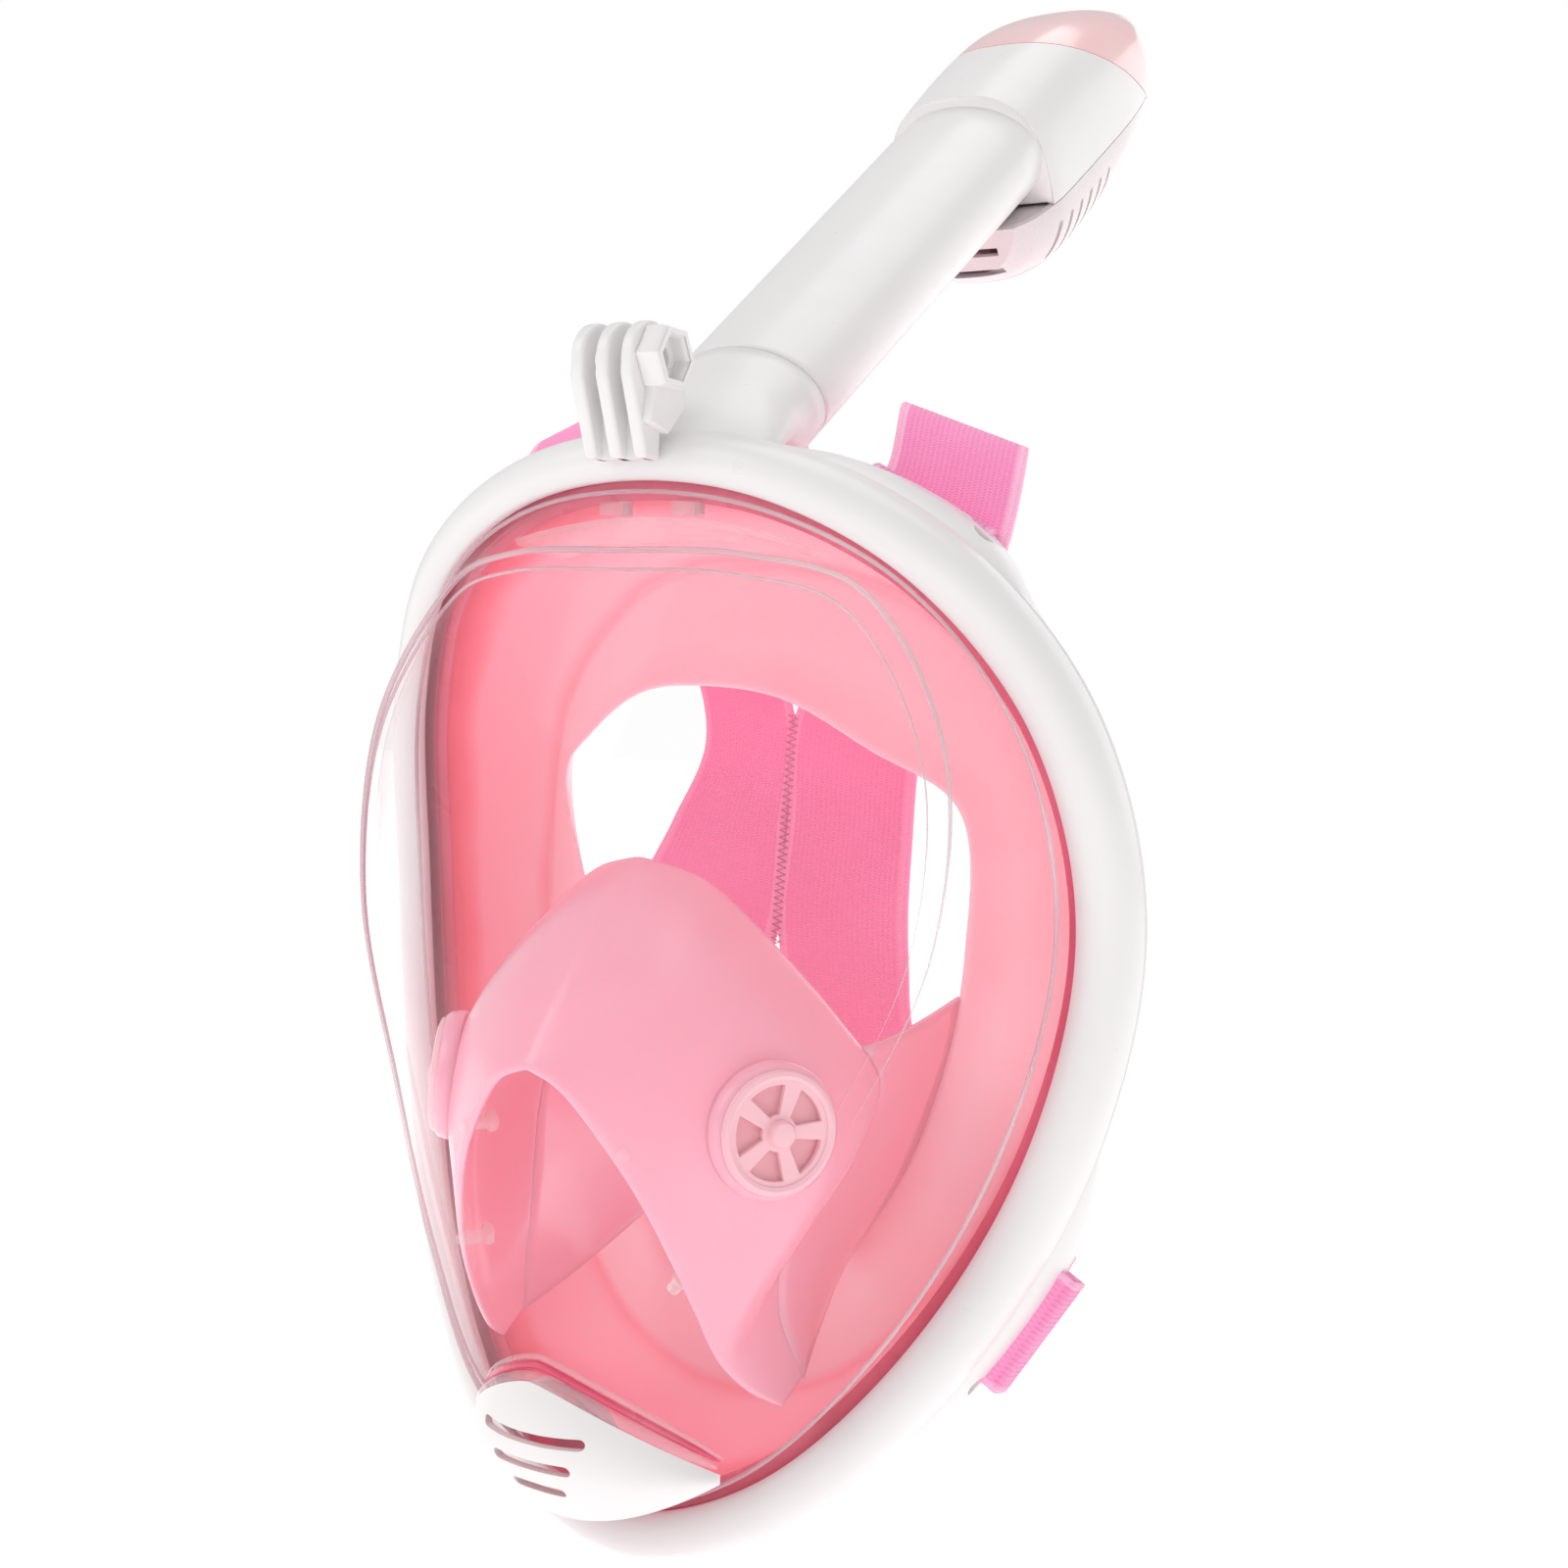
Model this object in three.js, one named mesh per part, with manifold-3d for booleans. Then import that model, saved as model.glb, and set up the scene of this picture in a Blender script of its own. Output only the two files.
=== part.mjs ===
// Full face snorkel mask: lens, frames, silicone skirt and pocket, chin valve,
// folding snorkel with a float head, camera mount and strap harness.
// Millimetres. +Z is up, -Y is the front (lens), +Y faces the wearer, X = 0 is the mirror plane.
import * as THREE from 'three';
import Module from 'manifold-3d';
import { mergeVertices } from 'three/addons/utils/BufferGeometryUtils.js';

const wasm = await Module();
wasm.setup();

// ---- driving dimensions ----
const GAP = 0.3;                 // gap between touching pieces
const STATIONS = 40;             // stations round the mask
const FRAME_WIDTH = 11.4;        // front band, seen from the front
const FRAME_WALL = 2;            // its outer wall
const FRAME_DEPTH = 12;          // outer wall of the front frame
const REAR_DEPTH = 17;           // rear edge of the rear frame, behind the rim
const LUG_DEPTH = 13;            // extra depth of the rear frame at a strap lug
const LENS_THICKNESS = 2.2;
const FLANGE_BACK = 4.1;         // front of the lens's flange, behind the rim
const FLANGE_WIDTH = 8.7;
const LENS_BULGE = 23.5;         // how far the window bows forward at mid height
const SKIRT_THICKNESS = 2.2;
const POCKET_THICKNESS = 1.8;
const TUBE_LEAN = 53.4;          // degrees from vertical, backwards
const TUBE_BASE = new THREE.Vector3(0, 24.6, 120.9);   // centre of the fold seam
const TUBE_HALF_WIDTH = 20;
const TUBE_HALF_DEPTH = 13.8;
const TUBE_FLARE = 1.1;          // top of the tube is this much larger than its foot
const TUBE_LENGTH = 140;
const TUBE_WALL = 2.2;
const HINGE_OFFSET = 3.6;        // hinge axis behind the tube's rear wall
const FOLD_BARREL_RADIUS = 3.2;
const PIN_RADIUS = 1.4;
const HEAD_WALL = 2;
const STRAP_WIDTH = 30;
const STRAP_THICKNESS = 1.6;
const BAND_STEPS = 28;
const INHALE_CENTRE = new THREE.Vector3(41.7, -20.6, -29.7);
const INHALE_NORMAL = new THREE.Vector3(0.843, -0.537, 0.05).normalize();
const INHALE_RADIUS = 12.5;
const CHIN_CENTRE = new THREE.Vector3(0, -29.5, -98);
const CHIN_NORMAL = new THREE.Vector3(0, -0.95, -0.32).normalize();
const CHIN_RADIUS = 13;
const MOUNT_PITCH = 6.1;         // camera mount prong spacing
const MOUNT_PRONG = 3;
const MOUNT_RADIUS = 7.5;
const MOUNT_EYE = new THREE.Vector3(0, -24, 122.3);
const MOUNT_FOOT = 102.5;        // lower end of the prongs, in front of the frame

const COLOURS = {
  white: { color: 0xf4f0ef, roughness: 0.25, metalness: 0 },
  clear: { color: 0xf3e9ec, roughness: 0.05, metalness: 0, transparent: true, opacity: 0.35 },
  coral: { color: 0xff8c96, roughness: 0.4, metalness: 0 },
  milky: { color: 0xff9ab4, roughness: 0.4, metalness: 0 },
  rim: { color: 0xe8566f, roughness: 0.35, metalness: 0 },
  pale: { color: 0xffc9cf, roughness: 0.2, metalness: 0 },
  strap: { color: 0xff6fb0, roughness: 0.9, metalness: 0 },
  thread: { color: 0xf0559a, roughness: 0.8, metalness: 0 },
  steel: { color: 0xc9ccd0, roughness: 0.3, metalness: 1 },
};

// ---- outlines of the right half, from the top to the chin, mirrored to the left ----
const RIM = mirroredLoop([
  [0, -18.6, 99], [31, -16.5, 94.3], [58.5, -7.5, 79.1], [78.3, 8.3, 50.8], [85.5, 20.2, 10.2],
  [78, 17.3, -36.4], [58.2, 3.5, -79.1], [30.6, -9, -108.7], [0, -13.4, -119.2]]);
const WINDOW = mirroredLoop([
  [0, -25, 84], [29, -20.5, 83.5], [51, -13, 77.5], [70.5, -13.2, 48], [71.5, -16.2, 8],
  [55, -21.7, -33], [39, -26.3, -67], [21.5, -29.8, -93.5], [0, -31, -103]]);
const CREST = mirroredLoop([
  [0, 34, 88], [29, 38, 84], [52, 45, 70], [70, 54, 46], [77, 60, 6],
  [69, 53, -36], [52, 43, -74], [28, 38, -100], [0, 36, -108]]);
const LIP = mirroredLoop([
  [0, 12, 57], [18, 15, 55], [37, 22, 44.5], [52.5, 34, 33], [50.5, 45, -1],
  [45, 48, -28], [37, 45, -53], [22, 40, -74], [0, 35, -83]]);

// ---- small helpers ----
function vec(x, y, z) {
  return new THREE.Vector3(x, y, z);
}

function mirroredLoop(half) {
  const right = half.map(([x, y, z]) => vec(x, y, z));
  const left = half.slice(1, -1).reverse().map(([x, y, z]) => vec(-x, y, z));
  return new THREE.CatmullRomCurve3([...right, ...left], true);
}

function outwardAt(loop, t) {
  const ahead = loop.getPoint((t + 0.002) % 1);
  const behind = loop.getPoint((t + 0.998) % 1);
  return vec(behind.z - ahead.z, 0, ahead.x - behind.x).normalize();
}

// A point near the rim: out from the opening in the XZ plane, and back along Y.
function rimPoint(t, out, back) {
  const point = RIM.getPoint(t).addScaledVector(outwardAt(RIM, t), out);
  point.y += back;
  return point;
}

function stations(count = STATIONS) {
  return Array.from({ length: count }, (_, i) => i / count);
}

function meshGeometry(points, triangles) {
  const geometry = new THREE.BufferGeometry();
  geometry.setAttribute('position', new THREE.Float32BufferAttribute(points.flatMap((p) => [p.x, p.y, p.z]), 3));
  geometry.setIndex(triangles.flat());
  return facingOut(geometry);
}

function signedVolume(geometry) {
  const p = geometry.attributes.position;
  const index = geometry.index;
  const [a, b, c] = [vec(), vec(), vec()];
  let volume = 0;
  for (let i = 0; i < index.count; i += 3) {
    a.fromBufferAttribute(p, index.getX(i));
    b.fromBufferAttribute(p, index.getX(i + 1));
    c.fromBufferAttribute(p, index.getX(i + 2));
    volume += a.dot(b.cross(c)) / 6;
  }
  return volume;
}

function facingOut(geometry) {
  if (signedVolume(geometry) < 0) {
    const index = geometry.index.array;
    for (let i = 0; i < index.length; i += 3) {
      [index[i + 1], index[i + 2]] = [index[i + 2], index[i + 1]];
    }
  }
  return geometry;
}

// Skins a list of equal rings. closed joins the last ring to the first; otherwise both ends are fans.
function loft(rings, closed = false) {
  const size = rings[0].length;
  const points = rings.flat();
  const triangles = [];
  const spans = closed ? rings.length : rings.length - 1;
  for (let j = 0; j < spans; j += 1) {
    const here = j * size;
    const next = ((j + 1) % rings.length) * size;
    for (let i = 0; i < size; i += 1) {
      const k = (i + 1) % size;
      triangles.push([here + i, here + k, next + k], [here + i, next + k, next + i]);
    }
  }
  if (!closed) {
    for (const [ring, start, flip] of [[rings[0], 0, false], [rings.at(-1), (rings.length - 1) * size, true]]) {
      const centre = ring.reduce((sum, p) => sum.add(p), vec(0, 0, 0)).divideScalar(size);
      const hub = points.push(centre) - 1;
      for (let i = 0; i < size; i += 1) {
        const k = (i + 1) % size;
        triangles.push(flip ? [hub, start + i, start + k] : [hub, start + k, start + i]);
      }
    }
  }
  return meshGeometry(points, triangles);
}

// A closed ring of the section's [out, back] points, swept round the rim.
function sweepRim(sectionAt, count = STATIONS) {
  return loft(stations(count).map((t) => sectionAt(t).map(([out, back]) => rimPoint(t, out, back))), true);
}

// Moves every point of a grid along its own normal. The grid's rows may wrap round.
function offsetGrid(grid, distance, wrap) {
  const pick = (row, i) => (wrap ? row[(i + row.length) % row.length] : row[Math.min(Math.max(i, 0), row.length - 1)]);
  return grid.map((row, j) => row.map((point, i) => {
    const above = grid[Math.max(j - 1, 0)];
    const below = grid[Math.min(j + 1, grid.length - 1)];
    const along = pick(row, i + 1).clone().sub(pick(row, i - 1));
    const across = pick(below, i).clone().sub(pick(above, i));
    return point.clone().addScaledVector(along.cross(across).normalize(), distance);
  }));
}

// A sheet of even thickness from a grid of points.
function sheetSolid(grid, thickness) {
  const back = offsetGrid(grid, thickness, false);
  const width = grid[0].length;
  const rows = grid.length;
  const total = width * rows;
  const points = [...grid.flat(), ...back.flat()];
  const triangles = [];
  const quad = (a, b, c, d) => triangles.push([a, b, c], [a, c, d]);
  for (let j = 0; j < rows - 1; j += 1) {
    for (let i = 0; i < width - 1; i += 1) {
      const a = j * width + i;
      quad(a, a + 1, a + width + 1, a + width);
      quad(total + a, total + a + width, total + a + width + 1, total + a + 1);
    }
    const left = j * width;
    const right = left + width - 1;
    quad(left, left + width, total + left + width, total + left);
    quad(right, total + right, total + right + width, right + width);
  }
  for (let i = 0; i < width - 1; i += 1) {
    const last = (rows - 1) * width + i;
    quad(i, total + i, total + i + 1, i + 1);
    quad(last, last + 1, total + last + 1, total + last);
  }
  return meshGeometry(points, triangles);
}

function solid(geometry) {
  const bare = geometry.clone();
  bare.deleteAttribute('normal');
  bare.deleteAttribute('uv');
  const merged = mergeVertices(bare, 1e-4);
  return new wasm.Manifold(new wasm.Mesh({
    numProp: 3,
    vertProperties: Float32Array.from(merged.attributes.position.array),
    triVerts: Uint32Array.from(merged.index.array),
  }));
}

function geometryOf(body) {
  const mesh = body.getMesh();
  const geometry = new THREE.BufferGeometry();
  geometry.setAttribute('position', new THREE.BufferAttribute(Float32Array.from(mesh.vertProperties), 3));
  geometry.setIndex(new THREE.BufferAttribute(Uint32Array.from(mesh.triVerts), 1));
  return geometry;
}

function combine(base, joined = [], cutters = []) {
  let body = solid(base);
  for (const piece of joined) body = body.add(solid(piece));
  for (const cutter of cutters) body = body.subtract(solid(cutter));
  return geometryOf(body);
}

function basis(right, up, forward, origin) {
  return new THREE.Matrix4().makeBasis(right, up, forward).setPosition(origin);
}

// A frame whose +Z runs along the given direction.
function facing(origin, direction) {
  const side = vec(0, 0, 1).cross(direction).normalize();
  return basis(side, direction.clone().cross(side), direction, origin);
}

function box(sizeX, sizeY, sizeZ, x = 0, y = 0, z = 0) {
  return new THREE.BoxGeometry(sizeX, sizeY, sizeZ).translate(x, y, z);
}

// A round bar along Z from one height to another.
function bar(radius, low, high, sides = 20) {
  return new THREE.CylinderGeometry(radius, radius, high - low, sides).rotateX(Math.PI / 2).translate(0, 0, (low + high) / 2);
}

function barAlongX(radius, low, high, y, z, sides = 20) {
  return new THREE.CylinderGeometry(radius, radius, high - low, sides).rotateZ(Math.PI / 2).translate((low + high) / 2, y, z);
}

function mirrored(geometry) {
  const copy = geometry.clone();
  copy.applyMatrix4(new THREE.Matrix4().makeScale(-1, 1, 1));
  const index = copy.index.array;
  for (let i = 0; i < index.length; i += 3) {
    [index[i + 1], index[i + 2]] = [index[i + 2], index[i + 1]];
  }
  return copy;
}

const model = new THREE.Group();
model.name = 'full_face_snorkel';

function addPiece(name, geometry, colour, group = model) {
  const mesh = new THREE.Mesh(geometry, new THREE.MeshStandardMaterial(COLOURS[colour]));
  mesh.name = name;
  group.add(mesh);
  return mesh;
}

// ---- strap lugs on the rear frame ----
const LUGS = [
  { name: 'upper', t: 0.096, slot: 35 },
  { name: 'lower', t: 0.361, slot: 33 },
];
const LUG_SPREAD = 0.045;
const SLOT_BACK = REAR_DEPTH + 4.4;      // middle of the slot, behind the rim
const SLOT_HEIGHT = 5.2;
const BAR_BACK = REAR_DEPTH + 10;         // middle of the strap bar

function lugRise(t) {
  const turn = Math.min(t, 1 - t);
  return LUGS.reduce((sum, lug) => sum + Math.exp(-(((turn - lug.t) / LUG_SPREAD) ** 4)), 0);
}

// Axes at a lug: X out, Y back, Z along the rim.
function lugFrame(t, out, back) {
  const along = RIM.getPoint((t + 0.01) % 1).sub(RIM.getPoint((t + 0.99) % 1)).normalize();
  const outward = outwardAt(RIM, t);
  return basis(outward, along.clone().cross(outward), along, rimPoint(t, out, back));
}

// ---- frames, lens, gasket ----
const INTAKE_PORT = box(26, 6, 30, 0, -18.6 + 10, 106);

function frontFrame() {
  const inside = FRAME_WIDTH - FRAME_WALL;
  const section = [[0, 1.6], [1.2, 0.3], [3.6, -0.7], [7, -0.5], [9.6, 1.4], [11, 4.4], [FRAME_WIDTH, 7.5],
    [FRAME_WIDTH, FRAME_DEPTH], [inside, FRAME_DEPTH], [inside, 3.5], [0, 3.5]];
  return combine(sweepRim(() => section), [], [INTAKE_PORT]);
}

function rearFrame() {
  const ring = sweepRim((t) => {
    const rear = REAR_DEPTH + LUG_DEPTH * lugRise(t);
    const outer = FRAME_WIDTH - 1 + 2.4 * lugRise(t);
    const front = FRAME_DEPTH + GAP;
    return [[1.6, 11.8], [8.9, 11.8], [8.9, front], [FRAME_WIDTH, front], [outer, rear - 2.2],
      [outer - 1, rear], [outer - 3.4, rear], [outer - 3.6, FRAME_DEPTH + 2.6], [1.6, FRAME_DEPTH + 1.6]];
  });
  const slots = LUGS.flatMap((lug) => [lug.t, 1 - lug.t].map((t) => (
    box(16, SLOT_HEIGHT, lug.slot).applyMatrix4(lugFrame(t, 11, SLOT_BACK)))));
  return combine(ring, [], [INTAKE_PORT, ...slots]);
}

function windowDepth(z) {
  const middle = -9.5;
  const half = 93.5;
  const t = (z - middle) / half;
  return -28 + 3 * t - LENS_BULGE * (1 - Math.abs(t) ** 1.6);
}

// The lens's outer skin at a fraction of the way from the window's middle to its bend edge.
function windowPoint(t, fraction) {
  const edge = WINDOW.getPoint(t);
  const middleZ = -5;
  const z = middleZ + (edge.z - middleZ) * fraction;
  const y = windowDepth(z) + (edge.y - windowDepth(edge.z)) * fraction ** 2;
  return vec(edge.x * fraction, y, z);
}

function lensRows() {
  const turns = stations();
  const panel = [0.06, 0.3, 0.55, 0.8, 0.95].map((k) => turns.map((t) => windowPoint(t, k)));
  const walls = [0.12, 0.55, 0.93].map((k) => turns.map((t) => (
    WINDOW.getPoint(t).lerp(rimPoint(t, -GAP, 2.2), k))));
  const flange = [rimRow(-GAP, FLANGE_BACK), rimRow(FLANGE_WIDTH, FLANGE_BACK)];
  return [...panel, ...walls, ...flange];
}

function rimRow(out, back) {
  return stations().map((t) => rimPoint(t, out, back));
}

function lensPiece() {
  const outer = lensRows();
  const inner = offsetGrid(outer, -LENS_THICKNESS, true);
  inner[inner.length - 2] = rimRow(-GAP - LENS_THICKNESS, FLANGE_BACK + LENS_THICKNESS);
  inner[inner.length - 1] = rimRow(FLANGE_WIDTH, FLANGE_BACK + LENS_THICKNESS);
  const shell = loft([...outer, ...inner.reverse()]);
  const drain = bar(CHIN_RADIUS + 0.4, -14, 14).applyMatrix4(facing(CHIN_CENTRE, CHIN_NORMAL));
  return combine(shell, [], [drain]);
}

function lensGasket() {
  return sweepRim(() => [[1, 6.8], [8.5, 6.8], [8.5, 7.7], [1, 7.7]]);
}

// ---- silicone skirt ----
function bend(a, b, c, t) {
  const first = a.clone().lerp(b, t);
  return first.lerp(b.clone().lerp(c, t), t);
}

function skirtPiece() {
  const rings = stations().map((t) => {
    const out = outwardAt(RIM, t);
    const crest = CREST.getPoint(t);
    const lip = LIP.getPoint(t);
    const inward = crest.clone().lerp(lip, 0.35).setY(crest.y + 2);
    const root = rimPoint(t, 0, 11.2);
    const rise = root.clone().lerp(crest, 0.55).addScaledVector(out, 3);
    const skin = [root, bend(root, rise, crest, 0.5), crest, bend(crest, inward, lip, 0.5), lip];
    const shift = [out.clone().multiplyScalar(-SKIRT_THICKNESS), out.clone().multiplyScalar(-SKIRT_THICKNESS),
      out.clone().multiplyScalar(-SKIRT_THICKNESS).setY(-1.6), vec(0, -SKIRT_THICKNESS, 0), vec(0, -1.4, 0)];
    const inner = skin.map((p, i) => p.clone().add(shift[i])).reverse();
    return [rimPoint(t, 8.3, 8.5), rimPoint(t, 8.3, 11.2), ...skin, ...inner, rimPoint(t, -SKIRT_THICKNESS, 8.5)];
  });
  return combine(loft(rings, true), [], [INTAKE_PORT]);
}

// ---- nose and mouth pocket ----
// Rear edge on the face and front edge at the lens, from the nose down to the frame beside the chin.
const POCKET_REAR = new THREE.CatmullRomCurve3([
  vec(0, -10, 21), vec(13.6, -6, 17), vec(26, -2, 6.5), vec(40, 8, -12), vec(43.5, 20, -27), vec(38.5, 9, -41),
  vec(33, 0, -57), vec(33, -2, -72), vec(37, 3, -87)]);
const POCKET_FRONT = new THREE.CatmullRomCurve3([
  vec(0, -47.3, -19), vec(7, -46.6, -22), vec(14.5, -43.4, -31), vec(21.5, -38.6, -43), vec(26.5, -32.6, -57),
  vec(29, -27, -68), vec(30.5, -21, -78), vec(33.5, -13, -86), vec(36.5, -4.5, -91)]);
const POCKET_ROWS = 5;
const POCKET_COLUMNS = 9;

function pocketGrid() {
  const right = Array.from({ length: POCKET_ROWS + 1 }, (_, j) => (
    Array.from({ length: POCKET_COLUMNS + 1 }, (_, i) => {
      const along = i / POCKET_COLUMNS;
      const rear = POCKET_REAR.getPoint(along);
      const front = POCKET_FRONT.getPoint(along);
      const across = j / POCKET_ROWS;
      const swell = Math.sin(Math.PI * across) * Math.sin(Math.PI * Math.min(along * 1.25, 1));
      const point = rear.lerp(front, across);
      point.x += 11 * swell;
      point.y -= 3 * Math.sin(Math.PI * across) * (1 - along);
      return point;
    })));
  return right.map((row) => [...row.slice(1).reverse().map((p) => vec(-p.x, p.y, p.z)), ...row]);
}

const PEGS = [
  { name: 'upper', x: 20.5, z: -34 },
  { name: 'lower', x: 28.2, z: -61 },
];

// Inner skin of the lens at a height and half breadth.
function lensInside(x, z) {
  let best = null;
  for (let t = 0; t <= 0.5; t += 0.004) {
    for (let k = 0.1; k <= 1; k += 0.02) {
      const p = windowPoint(t, k);
      const miss = Math.hypot(p.x - x, p.z - z);
      if (!best || miss < best.miss) best = { miss, point: p };
    }
  }
  return best.point;
}

function pegFrame(peg) {
  const skin = lensInside(peg.x, peg.z);
  const normal = vec(0.28, -0.95, 0).normalize();
  return facing(skin.addScaledVector(normal, -LENS_THICKNESS - GAP - 0.6), normal);
}

function pegPiece(peg) {
  return combine(bar(1.5, -7, 0, 12), [bar(2.4, -8, -6.9, 12)]).applyMatrix4(pegFrame(peg));
}

function pocketPiece() {
  const seat = facing(INHALE_CENTRE, INHALE_NORMAL);
  const rightCuts = [bar(INHALE_RADIUS + 0.4, -9, 9, 24).applyMatrix4(seat),
    ...PEGS.map((peg) => bar(2.9, -12, 0.5, 12).applyMatrix4(pegFrame(peg)))];
  const sheet = sheetSolid(pocketGrid(), POCKET_THICKNESS);
  return combine(sheet, [], [...rightCuts, ...rightCuts.map((cut) => mirrored(cut))]);
}

// ---- valves ----
// A flat spoked wheel with the given number of sector openings.
function spokedWheel(radius, thickness, sectors) {
  const shape = new THREE.Shape();
  for (let i = 0; i < 4; i += 1) shape.absarc(0, 0, radius, (i * Math.PI) / 2, ((i + 1) * Math.PI) / 2);
  const step = (Math.PI * 2) / sectors;
  for (let i = 0; i < sectors; i += 1) {
    const hole = new THREE.Path();
    const start = i * step + 0.2;
    hole.absarc(0, 0, radius * 0.76, start, start + step - 0.4);
    hole.absarc(0, 0, radius * 0.3, start + step - 0.55, start + 0.15, true);
    shape.holes.push(hole);
  }
  return new THREE.ExtrudeGeometry(shape, { depth: thickness, bevelEnabled: false, curveSegments: 2 });
}

function disc(radius, low, high) {
  return bar(radius, low, high, 20);
}

function addInhaleValves() {
  const seatFrame = facing(INHALE_CENTRE, INHALE_NORMAL);
  const seat = combine(spokedWheel(INHALE_RADIUS, 1.6, 5), [bar(2.6, 1.5, 4, 12)]).applyMatrix4(seatFrame);
  const flap = disc(INHALE_RADIUS - 2, -1, -GAP).applyMatrix4(seatFrame);
  addPiece('inhale_valve_seat_right', seat, 'pale');
  addPiece('inhale_valve_seat_left', mirrored(seat), 'pale');
  addPiece('inhale_flap_right', flap, 'clear');
  addPiece('inhale_flap_left', mirrored(flap), 'clear');
}

function chinCover() {
  const rows = 6;
  const columns = 16;
  const grid = Array.from({ length: rows + 1 }, (_, j) => {
    const down = j / rows;
    return Array.from({ length: columns + 1 }, (_, i) => {
      const side = (i / columns) * 2 - 1;
      const half = 31;
      const top = -82.5 - 19.5 * Math.abs(side) ** 1.5;
      const foot = -114.5 + 7.5 * side ** 2;
      const arch = Math.sqrt(Math.max(1 - side ** 2, 0));
      const y = -42.6 + 24 * side ** 2 - 4 * Math.sin(Math.PI * down) * arch + 13 * down * (1 - side ** 2);
      return vec(side * half, y, top + (foot - top) * down);
    });
  });
  const slots = [-93.5, -99.5, -105.5].map((z, i) => box(25 - 6 * i, 24, 2.4, 0, -40, z));
  return combine(sheetSolid(grid, 1.8), [], slots);
}

function addChinValve() {
  const frame = facing(CHIN_CENTRE.clone().addScaledVector(CHIN_NORMAL, -2.6), CHIN_NORMAL);
  addPiece('chin_valve_seat', spokedWheel(CHIN_RADIUS, 1.6, 6).applyMatrix4(frame), 'pale');
  addPiece('chin_flap', disc(CHIN_RADIUS - 2.5, 1.6 + GAP, 2.6).applyMatrix4(frame), 'coral');
  addPiece('chin_valve_cover', chinCover(), 'white');
}

// ---- forehead air duct behind the top of the lens ----
function ductPlate() {
  const columns = 12;
  const half = 34;
  const grid = [0, 1].map((row) => Array.from({ length: columns + 1 }, (_, i) => {
    const x = -half + (2 * half * i) / columns;
    const drop = 4.5 * (x / half) ** 2;
    return vec(x, row === 0 ? -12.8 : 4, 90.5 - drop - 2 * row);
  }));
  return sheetSolid(grid, 1.4);
}

function ductClip(x) {
  return combine(box(2, 5, 3, x, -9.2, 93.6), [box(7, 2, 2.8, x, -11.4, 93.8)]);
}

// ---- camera mount: three prongs down the front of the frame, a hexagon boss, a tie and a gusset ----
function prong(x) {
  const shape = new THREE.Shape();
  shape.moveTo(MOUNT_RADIUS, -6);
  shape.lineTo(MOUNT_RADIUS, 0);
  shape.absarc(0, 0, MOUNT_RADIUS, 0, Math.PI);
  shape.lineTo(-MOUNT_RADIUS, -4);
  shape.lineTo(-1.3, MOUNT_FOOT - MOUNT_EYE.z);
  shape.lineTo(3.6, MOUNT_FOOT - MOUNT_EYE.z);
  shape.lineTo(3.6, -9.6);
  shape.closePath();
  const blank = new THREE.ExtrudeGeometry(shape, { depth: MOUNT_PRONG, bevelEnabled: false, curveSegments: 10 });
  const frame = basis(vec(0, 1, 0), vec(0, 0, 1), vec(1, 0, 0), vec(x - MOUNT_PRONG / 2, MOUNT_EYE.y, MOUNT_EYE.z));
  return blank.applyMatrix4(frame);
}

function cameraMount() {
  const { y, z } = MOUNT_EYE;
  const tie = box(2 * MOUNT_PITCH, 3, 11, 0, y + 2, MOUNT_FOOT + 5.5);
  const boss = barAlongX(6.9, 7, 13.2, y, z, 6);
  const gusset = box(2.4, 10, 8, 8.6, y + 4.5, z - 5.6);
  const bore = barAlongX(2.6, -12, 16, y, z, 16);
  const nut = barAlongX(4.7, 9, 16, y, z, 6);
  return combine(prong(0), [prong(-MOUNT_PITCH), prong(MOUNT_PITCH), tie, boss, gusset], [bore, nut]);
}

// ---- snorkel: local axes run X across, Y towards the back, Z up the tube ----
const snorkelFrame = new THREE.Matrix4().makeRotationX(THREE.MathUtils.degToRad(-TUBE_LEAN)).setPosition(TUBE_BASE);
const HINGE_Y = TUBE_HALF_DEPTH + HINGE_OFFSET;
const OVAL_POINTS = 24;

function oval(halfWidth, halfDepth, z, y = 0) {
  return Array.from({ length: OVAL_POINTS }, (_, i) => {
    const angle = (i / OVAL_POINTS) * Math.PI * 2;
    return vec(halfWidth * Math.cos(angle), y + halfDepth * Math.sin(angle), z);
  });
}

function tubeRing(z, inset = 0) {
  const scale = 1 + (TUBE_FLARE - 1) * (z / TUBE_LENGTH);
  return oval(TUBE_HALF_WIDTH * scale - inset, TUBE_HALF_DEPTH * scale - inset, z);
}

function snorkelTube() {
  const heights = [GAP, TUBE_LENGTH / 2, TUBE_LENGTH];
  const outer = heights.map((z) => tubeRing(z));
  const inner = heights.map((z) => tubeRing(z, TUBE_WALL)).reverse();
  const barrel = barAlongX(FOLD_BARREL_RADIUS, -7, 7, HINGE_Y, 0);
  const web = box(14, 6.4, 3.4, 0, HINGE_Y - 3.2, 2.1);
  const pin = barAlongX(PIN_RADIUS + 0.25, -8, 8, HINGE_Y, 0);
  return combine(loft([...outer, ...inner], true), [barrel, web], [pin]);
}

function socketRings(inset) {
  const foot = oval(23 - inset, 9.5 - inset, 111.2, -5.5);
  const knee = tubeRing(-9, inset).map((p) => p.applyMatrix4(snorkelFrame));
  const top = tubeRing(-GAP, inset).map((p) => p.applyMatrix4(snorkelFrame));
  const middle = foot.map((p, i) => p.clone().lerp(knee[i], 0.5).add(vec(0, 0, 1.5)));
  return [foot, middle, knee, top];
}

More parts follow.
